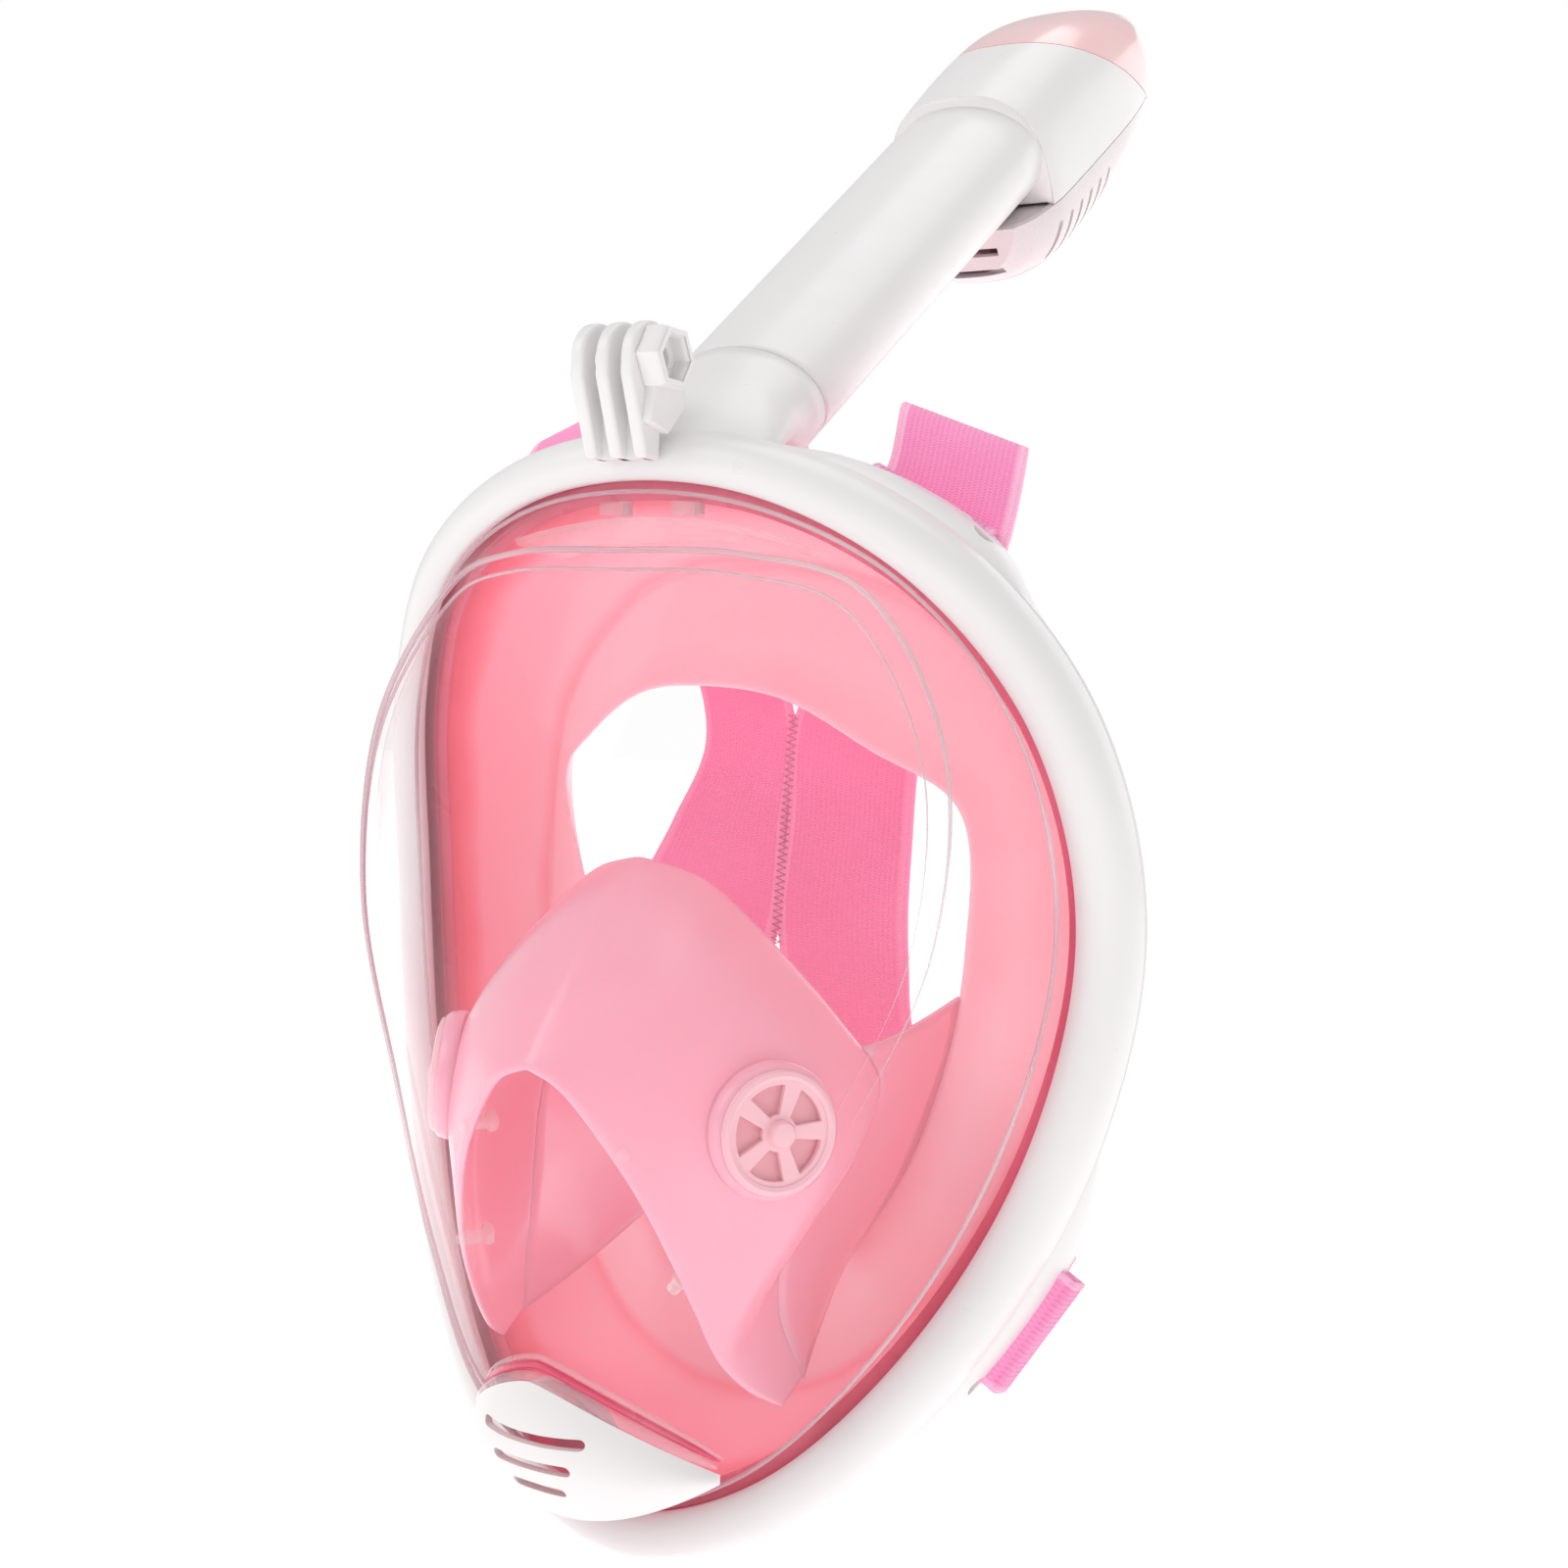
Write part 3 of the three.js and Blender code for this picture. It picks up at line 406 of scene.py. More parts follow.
def plate(outline, holes, thickness, bevel=0.4):
    """A flat plate in XY, from Z 0 up, with rounded edges. Outlines are lists of (x, y)."""
    curve = bpy.data.curves.new("plate", "CURVE")
    curve.dimensions = "2D"
    curve.fill_mode = "BOTH"
    curve.extrude = (thickness / 2 - bevel) * MM
    curve.bevel_depth = bevel * MM
    curve.bevel_resolution = 2
    curve.offset = -bevel * MM
    for path in [outline, *holes]:
        spline = curve.splines.new("POLY")
        spline.points.add(len(path) - 1)
        for point, (x, y) in zip(spline.points, path):
            point.co = (x * MM, y * MM, 0, 1)
        spline.use_cyclic_u = True
    maker = new_object("plate", curve)
    graph = bpy.context.evaluated_depsgraph_get()
    mesh = bpy.data.meshes.new_from_object(maker.evaluated_get(graph))
    points = [v.co / MM + Vector((0, 0, thickness / 2)) for v in mesh.vertices]
    faces = [tuple(p.vertices) for p in mesh.polygons]
    bpy.data.objects.remove(maker)
    bpy.data.curves.remove(curve)
    bpy.data.meshes.remove(mesh)
    return points, faces


def arc(radius, start, end, count, x=0, y=0):
    angles = [start + (end - start) * u for u in steps(count)]
    return [(x + radius * math.cos(angle), y + radius * math.sin(angle)) for angle in angles]


def oval(half_width, half_depth, z, y=0, count=72):
    return [Vector((half_width * math.cos(2 * math.pi * u), y + half_depth * math.sin(2 * math.pi * u), z))
            for u in turns(count)]


# ---- materials ----
def feed(tree, shader, socket, value):
    """Links a value or colour to one of the shader's sockets."""
    tree.links.new(value, shader.inputs[socket])


def blank_material(name):
    material = bpy.data.materials.new(name)
    material.use_nodes = True
    return material, material.node_tree, material.node_tree.nodes["Principled BSDF"]


def set_inputs(shader, values):
    for name, value in values.items():
        shader.inputs[name].default_value = value


def object_coordinates(tree, stretch=(1, 1, 1)):
    source = tree.nodes.new("ShaderNodeTexCoord")
    mapping = tree.nodes.new("ShaderNodeMapping")
    mapping.inputs["Scale"].default_value = stretch
    tree.links.new(source.outputs["Object"], mapping.inputs["Vector"])
    return mapping.outputs["Vector"]


def noise(tree, scale, detail=3, stretch=(1, 1, 1), roughness=0.5):
    node = tree.nodes.new("ShaderNodeTexNoise")
    node.inputs["Scale"].default_value = scale
    node.inputs["Detail"].default_value = detail
    node.inputs["Roughness"].default_value = roughness
    tree.links.new(object_coordinates(tree, stretch), node.inputs["Vector"])
    return node.outputs["Fac"]


def ramp(tree, value, stops):
    node = tree.nodes.new("ShaderNodeValToRGB")
    elements = node.color_ramp.elements
    while len(elements) < len(stops):
        elements.new(0.5)
    for element, (place, colour) in zip(elements, stops):
        element.position = place
        element.color = (*colour, 1)
    tree.links.new(value, node.inputs["Fac"])
    return node.outputs["Color"]


def remap(tree, value, low, high, from_low=0.0, from_high=1.0):
    node = tree.nodes.new("ShaderNodeMapRange")
    node.inputs["From Min"].default_value = from_low
    node.inputs["From Max"].default_value = from_high
    node.inputs["To Min"].default_value = low
    node.inputs["To Max"].default_value = high
    tree.links.new(value, node.inputs["Value"])
    return node.outputs["Result"]


def arithmetic(tree, operation, first, second=None):
    node = tree.nodes.new("ShaderNodeMath")
    node.operation = operation
    for socket, value in zip(node.inputs, (first, second)):
        if value is None:
            continue
        if isinstance(value, (int, float)):
            socket.default_value = value
        else:
            tree.links.new(value, socket)
    return node.outputs["Value"]


def blend_colours(tree, factor, first, second, mode="MIX"):
    node = tree.nodes.new("ShaderNodeMix")
    node.data_type = "RGBA"
    node.blend_type = mode
    sockets = {"factor": node.inputs[0], "first": node.inputs[6], "second": node.inputs[7]}
    for key, value in (("factor", factor), ("first", first), ("second", second)):
        if isinstance(value, (int, float)):
            sockets[key].default_value = value
        elif isinstance(value, tuple):
            sockets[key].default_value = (*value, 1)
        else:
            tree.links.new(value, sockets[key])
    return node.outputs[2]


def bump(tree, shader, height, strength, distance):
    node = tree.nodes.new("ShaderNodeBump")
    node.inputs["Strength"].default_value = strength
    node.inputs["Distance"].default_value = distance * MM
    tree.links.new(height, node.inputs["Height"])
    feed(tree, shader, "Normal", node.outputs["Normal"])


def moulded_plastic(name, light, dark, roughness=0.3, coat=0.12):
    """Glossy moulded plastic: faint colour drift, gloss that varies a little, and a very fine orange peel."""
    material, tree, shader = blank_material(name)
    drift = noise(tree, 18, 3)
    feed(tree, shader, "Base Color", ramp(tree, drift, [(0.3, dark), (0.7, light)]))
    feed(tree, shader, "Roughness", remap(tree, noise(tree, 140, 4), roughness * 0.7, roughness * 1.5))
    set_inputs(shader, {"Coat Weight": coat, "Coat Roughness": 0.18, "Specular IOR Level": 0.42})
    bump(tree, shader, noise(tree, 900, 2), 0.06, 0.05)
    return material


def clear_plastic(name, tint, alpha, edge_alpha, roughness=0.03):
    """Clear polycarbonate. It shows more at grazing angles, with faint moulding waves."""
    material, tree, shader = blank_material(name)
    facing_node = tree.nodes.new("ShaderNodeLayerWeight")
    facing_node.inputs["Blend"].default_value = 0.3
    grazing = remap(tree, facing_node.outputs["Facing"], alpha, edge_alpha, 0.45, 1.0)
    feed(tree, shader, "Alpha", grazing)
    feed(tree, shader, "Base Color", ramp(tree, noise(tree, 12, 2), [(0.3, tint), (0.8, (1, 1, 1))]))
    feed(tree, shader, "Roughness", remap(tree, noise(tree, 60, 2), roughness * 0.6, roughness * 1.6))
    set_inputs(shader, {"IOR": 1.55, "Specular IOR Level": 0.8, "Coat Weight": 1.0, "Coat Roughness": 0.02})
    bump(tree, shader, noise(tree, 22, 1), 0.05, 0.4)
    return material


def silicone(name, stops, attribute=None, roughness=0.32, glow=0.5, alpha=1.0, painted_glow=0.0):
    """Soft translucent rubber. Its colour follows a surface attribute, or a slow noise, through the stops; a
    faint emission in the last stop's colour is painted light.
    """
    material, tree, shader = blank_material(name)
    slow = noise(tree, 26, 3)
    if attribute:
        source = tree.nodes.new("ShaderNodeAttribute")
        source.attribute_name = attribute
        wobble = remap(tree, slow, -0.06, 0.06)
        value = arithmetic(tree, "ADD", source.outputs["Fac"], wobble)
    else:
        value = slow
    feed(tree, shader, "Base Color", ramp(tree, value, stops))
    feed(tree, shader, "Roughness", remap(tree, noise(tree, 90, 3), roughness * 0.8, roughness * 1.25))
    set_inputs(shader, {"Subsurface Weight": glow, "Subsurface Radius": (1.0, 0.42, 0.36),
                        "Subsurface Scale": 0.006, "Coat Weight": 0.25, "Coat Roughness": 0.22,
                        "Alpha": alpha,
                        "Emission Color": (*stops[-1][1], 1), "Emission Strength": painted_glow})
    bump(tree, shader, noise(tree, 480, 3), 0.12, 0.08)
    return material


def woven(name, light, dark, edge, deep):
    """Knitted elastic: fine rows across and ribs along the strap, a paler bound edge and a soft fuzz."""
    material, tree, shader = blank_material(name)
    source = tree.nodes.new("ShaderNodeUVMap")
    parts = tree.nodes.new("ShaderNodeSeparateXYZ")
    tree.links.new(source.outputs["UV"], parts.inputs["Vector"])
    across = parts.outputs["X"]
    along = parts.outputs["Y"]
    thread = 0.62
    rib = arithmetic(tree, "SINE", arithmetic(tree, "MULTIPLY", across, 2 * math.pi / (thread * 1.9)))
    row = arithmetic(tree, "SINE", arithmetic(tree, "MULTIPLY", along, 2 * math.pi / thread))
    weave = arithmetic(tree, "MULTIPLY", rib, row)
    knit = arithmetic(tree, "ADD", arithmetic(tree, "MULTIPLY", row, 0.6), weave)
    fuzz = noise(tree, 2200, 3)
    relief = remap(tree, knit, 0, 1, -1.6, 1.6)
    height = arithmetic(tree, "ADD", relief, arithmetic(tree, "MULTIPLY", fuzz, 0.5))
    base = ramp(tree, remap(tree, height, 0, 1, 0.1, 1.3), [(0.1, dark), (0.75, light)])
    blotch = ramp(tree, noise(tree, 45, 3), [(0.35, deep), (0.62, (1, 1, 1))])
    base = blend_colours(tree, 0.22, base, blotch, "MULTIPLY")
    from_middle = arithmetic(tree, "ABSOLUTE", across)
    border = remap(tree, from_middle, 0, 1, STRAP_WIDTH / 2 - 2.4, STRAP_WIDTH / 2 - 1.8)
    base = blend_colours(tree, border, base, edge)
    # Painted shade: from 50 to 85 mm along, the colour is darkened towards pink for the stretch of band that
    # runs inside the mask.
    inner = remap(tree, along, 0, 1, 50, 85)
    shade = blend_colours(tree, inner, (1.0, 1.0, 1.0), (1.0, 0.55, 0.7))
    base = blend_colours(tree, 1.0, base, shade, "MULTIPLY")
    feed(tree, shader, "Base Color", base)
    # The emission in the strap's light colour is painted light, lifting the band that sits in shade inside the
    # mask.
    set_inputs(shader, {"Roughness": 0.85, "Sheen Weight": 0.6, "Sheen Roughness": 0.5,
                        "Sheen Tint": (1.0, 0.75, 0.88, 1.0), "Specular IOR Level": 0.25,
                        "Emission Color": (*light, 1), "Emission Strength": 0.12})
    bump(tree, shader, height, 0.55, 0.35)
    return material


def brushed_metal(name):
    material, tree, shader = blank_material(name)
    grain = noise(tree, 300, 4, (0.05, 1, 1))
    steel = ramp(tree, grain, [(0.3, (0.6, 0.6, 0.62)), (0.7, (0.82, 0.82, 0.84))])
    feed(tree, shader, "Base Color", steel)
    set_inputs(shader, {"Metallic": 1.0, "Roughness": 0.28})
    bump(tree, shader, grain, 0.1, 0.05)
    return material


def floor_material():
    material, tree, shader = blank_material("studio_floor")
    grey = ramp(tree, noise(tree, 3, 2), [(0.3, (0.93, 0.93, 0.93)), (0.7, (0.96, 0.96, 0.96))])
    feed(tree, shader, "Base Color", grey)
    set_inputs(shader, {"Roughness": 0.9, "Specular IOR Level": 0.1, "Emission Color": (1, 1, 1, 1),
                        "Emission Strength": 0.52})
    return material


WHITE = moulded_plastic("white_abs", (0.86, 0.845, 0.84), (0.835, 0.815, 0.812))
HOUSING = moulded_plastic("housing_abs", (0.8, 0.73, 0.73), (0.74, 0.66, 0.67), 0.24)
PALE = moulded_plastic("pale_pink_plastic", (1.0, 0.6, 0.66), (0.99, 0.52, 0.59), 0.22)
CAP = moulded_plastic("cap_plastic", (1.0, 0.68, 0.68), (1.0, 0.54, 0.56), 0.14, 0.7)
LENS = clear_plastic("lens_polycarbonate", (1.0, 0.86, 0.9), 0.05, 0.6)
# Dark pink tint with a high alpha: painted shade lines along the lens's bends, standing in for refraction.
LENS_BEND_PAINTED_SHADE = clear_plastic("lens_bend_painted_shade", (0.62, 0.28, 0.36), 0.5, 0.95)
CLEAR = clear_plastic("clear_small_parts", (1.0, 0.72, 0.76), 0.22, 0.75)
RIM_RUBBER = silicone("rim_silicone", [(0.3, (0.72, 0.06, 0.14)), (0.7, (0.85, 0.12, 0.22))],
                      roughness=0.28, glow=0.2)
# Across the skirt the colour runs deep red at the frame, dips at the crest and darkens again at the lip:
# painted shade where the skirt runs under the frame, folds over at the crest and curls in at the lip.
SKIRT_STOPS = [(0.0, (0.8, 0.05, 0.12)), (0.06, (0.92, 0.14, 0.22)), (0.14, (1.0, 0.4, 0.5)),
               (0.42, (1.0, 0.54, 0.62)), (0.5, (1.0, 0.36, 0.46)), (0.6, (1.0, 0.6, 0.67)),
               (0.85, (1.0, 0.64, 0.7)), (1.0, (1.0, 0.46, 0.56))]
# The skirt's faint emission is painted light.
SKIRT = silicone("skirt_silicone", SKIRT_STOPS, "across", painted_glow=0.1)
# The pocket's faint emission is painted light.
POCKET = silicone("pocket_silicone", [(0.3, (1.0, 0.38, 0.5)), (0.7, (1.0, 0.42, 0.54))],
                  roughness=0.24, painted_glow=0.06)
VALVE = silicone("valve_silicone", [(0.3, (0.9, 0.2, 0.28)), (0.7, (0.97, 0.3, 0.38))])
FLAP = silicone("clear_silicone", [(0.3, (0.92, 0.3, 0.4)), (0.7, (0.97, 0.42, 0.5))], alpha=0.8)
STRAP = woven("strap_elastic", (1.0, 0.36, 0.63), (0.92, 0.2, 0.46), (1.0, 0.5, 0.7), (0.85, 0.5, 0.62))
THREAD = woven("strap_thread", (0.9, 0.15, 0.38), (0.6, 0.05, 0.2), (0.9, 0.15, 0.38), (0.8, 0.5, 0.6))
STEEL = brushed_metal("pin_steel")


# ---- frames, lens and gasket ----
def make_front_frame():
    inside = FRAME_WIDTH - FRAME_WALL
    section = [(0, 1.8), (0.2, 1.2), (1.4, 0.2), (3.6, -0.6), (6.6, -0.5), (9.2, 1.2), (10.8, 4.2),
               (FRAME_WIDTH, 7.5), (FRAME_WIDTH, FRAME_DEPTH - 0.7), (FRAME_WIDTH - 0.1, FRAME_DEPTH),
               (inside + 0.1, FRAME_DEPTH), (inside, FRAME_DEPTH - 0.6), (inside, 3.5), (0.2, 3.5), (0, 3.2)]
    piece("front_frame_shell", sweep_rim(lambda t: section), WHITE, nodes=["front_frame"],
          subdivide=1)


def rear_section(t):
    rise = lug_rise(t)
    rear = REAR_DEPTH + LUG_DEPTH * rise
    outer = FRAME_WIDTH - 1 + 2.4 * rise
    front = FRAME_DEPTH + GAP
    return [(1.6, 11.8), (8.9, 11.8), (8.9, front), (FRAME_WIDTH - 0.5, front),
            (FRAME_WIDTH - 0.05, front + 0.5), (outer + 0.3, (front + rear) / 2), (outer, rear - 1.6),
            (outer - 0.35, rear - 0.5), (outer - 1.2, rear), (outer - 3.0, rear), (outer - 3.4, rear - 0.6),
            (outer - 3.6, FRAME_DEPTH + 2.6), (1.6, FRAME_DEPTH + 1.6)]


def rounded_slot(length, height, depth):
    """A bar with a stadium section that runs along X, for cutting a strap slot."""
    half = length / 2 - height / 2
    ring = arc(height / 2, 0, math.pi, 8, half, 0) + arc(height / 2, math.pi, 2 * math.pi, 8, -half, 0)
    sides = [[Vector((x, b, a)) for a, b in ring] for x in (-depth / 2, depth / 2)]
    return loft(sides, fans=True)


def make_rear_frame():
    shape = sweep_rim(rear_section, 260)
    thing = piece("rear_frame_shell", shape, WHITE, nodes=["rear_frame"], angle=42)
    slots = []
    for place, length in LUGS.values():
        for t in (place, 1 - place):
            slots.append(moved(rounded_slot(length, SLOT_HEIGHT, 16), lug_frame(t, 11, SLOT_BACK)))
    cut(thing, slots)
    smooth(thing, 42)
    thing.data.materials.clear()
    thing.data.materials.append(WHITE)


def window_depth(z):
    middle = -9.5
    half = 93.5
    t = (z - middle) / half
    return -28 + 3 * t - LENS_BULGE * (1 - abs(t) ** 1.6)


def window_point(t, fraction):
    edge = catmull(WINDOW_LOOP, t, True)
    middle = -5
    z = middle + (edge.z - middle) * fraction
    y = window_depth(z) + (edge.y - window_depth(edge.z)) * fraction ** 2
    return Vector((edge.x * fraction, y, z))


def lens_rings(count):
    fractions = [0.03, 0.15, 0.3, 0.45, 0.6, 0.74, 0.86, 0.94, 0.985]
    rings = [[window_point(t, k) for t in turns(count)] for k in fractions]
    for k in (0.02, 0.1, 0.35, 0.65, 0.93, 1.0):
        rings.append([catmull(WINDOW_LOOP, t, True).lerp(rim_point(t, -GAP, 2.2), k) for t in turns(count)])
    for out in (-GAP, FLANGE_WIDTH):
        rings.append([rim_point(t, out, FLANGE_BACK) for t in turns(count)])
    return rings


def inner_skin(rings, thickness):
    """The rings moved inwards along their own normals."""
    moved_rings = []
    for j, ring in enumerate(rings):
        above = rings[max(j - 1, 0)]
        below = rings[min(j + 1, len(rings) - 1)]
        row = []
        for i, point in enumerate(ring):
            along = ring[(i + 1) % len(ring)] - ring[i - 1]
            across = below[i] - above[i]
            row.append(point - along.cross(across).normalized() * thickness)
        moved_rings.append(row)
    return moved_rings


def make_lens():
    count = 120
    outer = lens_rings(count)
    inner = inner_skin(outer, LENS_THICKNESS)
    inner[-2] = [rim_point(t, -GAP - LENS_THICKNESS, FLANGE_BACK + LENS_THICKNESS) for t in turns(count)]
    inner[-1] = [rim_point(t, FLANGE_WIDTH, FLANGE_BACK + LENS_THICKNESS) for t in turns(count)]
    thing = piece("lens_shell", loft(outer + inner[::-1], fans=True), LENS, nodes=["lens"],
                  subdivide=1)
    drain = moved(rounded_bar(CHIN_RADIUS + 0.4, -14, 14, 0.1, 48), facing(CHIN_CENTRE, CHIN_NORMAL))
    cut(thing, [drain])
    smooth(thing, 60)


def make_lens_edges():
    """Dark pink cords painted along the lens's bends as shade lines for the refraction there: round the
    window, just inside it, and where the wall meets the frame.
    """
    chin_left = 0.52
    cheek_right = 1.3
    sweep = [(chin_left + (cheek_right - chin_left) * u) % 1 for u in steps(150)]
    edge = [catmull(WINDOW_LOOP, t, True) for t in sweep]
    inner = [window_point(t, 0.955) for t in sweep]
    foot = [catmull(WINDOW_LOOP, t, True).lerp(rim_point(t, -GAP, 2.2), 0.86) for t in turns(180)]
    beads = [bead(edge, 0.7, taper=30), bead(inner, 0.4, taper=40), bead(foot, 0.5, True)]
    piece("lens_bend_painted_shade_lines", joined(*beads), LENS_BEND_PAINTED_SHADE)


def make_gasket():
    section = [(-3.6, 7.2), (-3.3, 6.9), (8.2, 6.8), (8.5, 7.0),
               (8.5, 7.6), (8.2, 7.7), (-3.3, 7.9), (-3.6, 7.6)]
    piece("lens_gasket_ring", sweep_rim(lambda t: section), RIM_RUBBER, nodes=["lens_gasket"])


# ---- silicone skirt and pocket ----
def bend(a, b, c, t):
    return a.lerp(b, t).lerp(b.lerp(c, t), t)


def skirt_ring(t):
    """One section of the skirt, with how far across it each point lies, from the frame to the lip."""
    out = outward_at(RIM_LOOP, t)
    crest = catmull(CREST_LOOP, t, True)
    lip = catmull(LIP_LOOP, t, True)
    inward = crest.lerp(lip, 0.35)
    inward.y = crest.y + 2
    root = rim_point(t, 0, 11.2)
    rise = root.lerp(crest, 0.55) + out * 3
    skin = [(bend(root, rise, crest, k), 0.5 * k) for k in steps(8)]
    skin += [(bend(crest, inward, lip, k), 0.5 + 0.5 * k) for k in steps(10)[1:]]
    inner = []
    for point, across in skin:
        turn = min(max((across - 0.4) / 0.25, 0), 1)
        shift = out.lerp(Vector((0, 1, 0)), turn).normalized()
        slim = 1 - 0.35 * max(across - 0.6, 0) / 0.4
        inner.append((point - shift * SKIRT_THICKNESS * slim, across))
    flange = [(rim_point(t, 8.3, 8.5), 0), (rim_point(t, 8.3, 11.2), 0)]
    return flange + skin + inner[::-1] + [(rim_point(t, -SKIRT_THICKNESS, 8.5), 0)]


def store_attribute(thing, name, values):
    attribute = thing.data.attributes.new(name, "FLOAT", "POINT")
    for item, value in zip(attribute.data, values):
        item.value = value


def make_skirt():
    rings = [skirt_ring(t) for t in turns(140)]
    shape = loft([[point for point, _ in ring] for ring in rings], wrap_rings=True)
    thing = piece("skirt_skin", shape, SKIRT, nodes=["skirt"], subdivide=1)
    store_attribute(thing, "across", [across for ring in rings for _, across in ring])


def pocket_point(along, across):
    rear = catmull(vectors(POCKET_REAR), along)
    front = catmull(vectors(POCKET_FRONT), along)
    swell = math.sin(math.pi * across) * math.sin(math.pi * min(along * 1.25, 1))
    point = rear.lerp(front, across)
    point.x += 11 * swell
    point.y -= 3 * math.sin(math.pi * across) * (1 - along)
    return point


def make_pocket():
    rows = []
    for across in steps(16):
        right = [pocket_point(along, across) for along in steps(34)]
        rows.append([mirror(p) for p in reversed(right[1:])] + right)
    thing = new_object("pocket_skin", make_mesh("pocket_skin", loft(rows, wrap_ring=False)))
    smooth(thing)
    add_thickness(thing, POCKET_THICKNESS, 0)
    add_subdivision(thing, 1)
    bake_modifiers(thing)
    seat = moved(rounded_bar(INHALE_RADIUS - 1, -9, 9, 0.1, 48), facing(INHALE_CENTRE, INHALE_NORMAL))
    cut(thing, [seat, moved(seat, FLIP)])
    smooth(thing, 50)
    dress(thing, POCKET, "mask", ["orinasal_pocket"])


def make_pocket_web():
    """Thin webs that join the pocket's rear edge to the skirt's lip, down each cheek."""
    rows = []
    for u in steps(30):
        rear = catmull(vectors(POCKET_REAR), 0.42 + 0.58 * u)
        lip = catmull(LIP_LOOP, 0.27 + 0.15 * u, True)
        sag = Vector((0, -2.5, -1.5))
        rows.append([rear.lerp(lip, k) + sag * math.sin(math.pi * k) for k in steps(8)])
    shape = loft(rows, wrap_ring=False)
    for name, matrix in (("right", Matrix.Identity(4)), ("left", FLIP)):
        thing = new_object(f"pocket_web_{name}", make_mesh(f"pocket_web_{name}", moved(shape, matrix)))
        smooth(thing)
        add_thickness(thing, 1.2, 0)
        dress(thing, POCKET, "mask", [])


def lens_inside(x, z):
    samples = [window_point(t, k) for t in steps(120)[:60] for k in steps(50)[5:]]
    return min(samples, key=lambda p: math.hypot(p.x - x, p.z - z))


def make_pegs():
    profile = [(0.4, -8), (1.9, -8), (2.35, -7.7), (2.35, -7.1), (1.6, -6.8),
               (1.5, -6.4), (1.5, -0.7), (1.2, -0.2), (0.4, 0)]
    normal = Vector((0.28, -0.95, 0)).normalized()
    for name, (x, z) in PEGS.items():
        origin = lens_inside(x, z) - normal * (LENS_THICKNESS + GAP + 0.6)
        shape = moved(lathe(profile, 20), facing(origin, normal))
        piece(f"peg_{name}_right", shape, CLEAR, nodes=[f"pocket_peg_{name}_right"])
        piece(f"peg_{name}_left", moved(shape, FLIP), CLEAR, nodes=[f"pocket_peg_{name}_left"])


# ---- valves ----
def spoked_wheel(radius, thickness, sectors, bevel=0.3):
    step = 2 * math.pi / sectors
    holes = []
    for i in range(sectors):
        start = i * step + 0.2
        outer = arc(radius * 0.76, start, start + step - 0.4, 10)
        inner = arc(radius * 0.3, start + step - 0.55, start + 0.15, 5)
        holes.append(outer + inner)
    return plate(arc(radius, 0, 2 * math.pi, 60)[:-1], holes, thickness, bevel)


def make_inhale_valves():
    seat_frame = facing(INHALE_CENTRE, INHALE_NORMAL)
    hub = lathe([(0.3, 1.2), (2.7, 1.2), (2.7, 3.2), (2.3, 3.8), (1.2, 4.0), (0.3, 4.0)], 28)
    rim = lathe([(INHALE_RADIUS - 2.1, 1.2), (INHALE_RADIUS - 1.9, 2.0), (INHALE_RADIUS - 1.1, 2.3),
                 (INHALE_RADIUS - 0.3, 2.0), (INHALE_RADIUS - 0.1, 1.2)], 60)
    ring = (rim[0][:-2], [face for face in rim[1] if len(face) == 4])
    seat = moved(joined(spoked_wheel(INHALE_RADIUS, 1.6, 5), hub, ring), seat_frame)
    flap = moved(lathe([(0.3, -1), (INHALE_RADIUS - 2.3, -1), (INHALE_RADIUS - 2, -0.65),
                        (INHALE_RADIUS - 2.3, -0.3), (0.3, -0.3)], 48), seat_frame)
    collar = lathe([(INHALE_RADIUS - 0.5, 0.9), (INHALE_RADIUS + 0.4, 0.9), (INHALE_RADIUS + 1.1, 0.2),
                    (INHALE_RADIUS + 1.5, -1.4), (INHALE_RADIUS + 1.5, -3.2), (INHALE_RADIUS + 0.6, -3.2),
                    (INHALE_RADIUS - 0.4, 0)], 60)
    collar = moved((collar[0][:-2], [face for face in collar[1] if len(face) == 4]), seat_frame)
    for side, matrix in (("right", Matrix.Identity(4)), ("left", FLIP)):
        piece(f"inhale_collar_{side}", moved(collar, matrix), POCKET)
        piece(f"inhale_seat_{side}", moved(seat, matrix), PALE, nodes=[f"inhale_valve_seat_{side}"],
              angle=40)
        piece(f"inhale_disc_{side}", moved(flap, matrix), FLAP, body=f"inhale_flap_{side}",
              nodes=[f"inhale_flap_{side}"], angle=40)


def chin_point(side, down):
    top = -82.5 - 19.5 * abs(side) ** 1.5
    foot = -114.5 + 10.5 * side ** 2
    arch = math.sqrt(max(1 - side ** 2, 0))
    y = -42.6 + 24 * side ** 2 - 6.5 * math.sin(math.pi * down) * arch + 13 * down * (1 - side ** 2)
    return Vector((side * 31, y, top + (foot - top) * down))


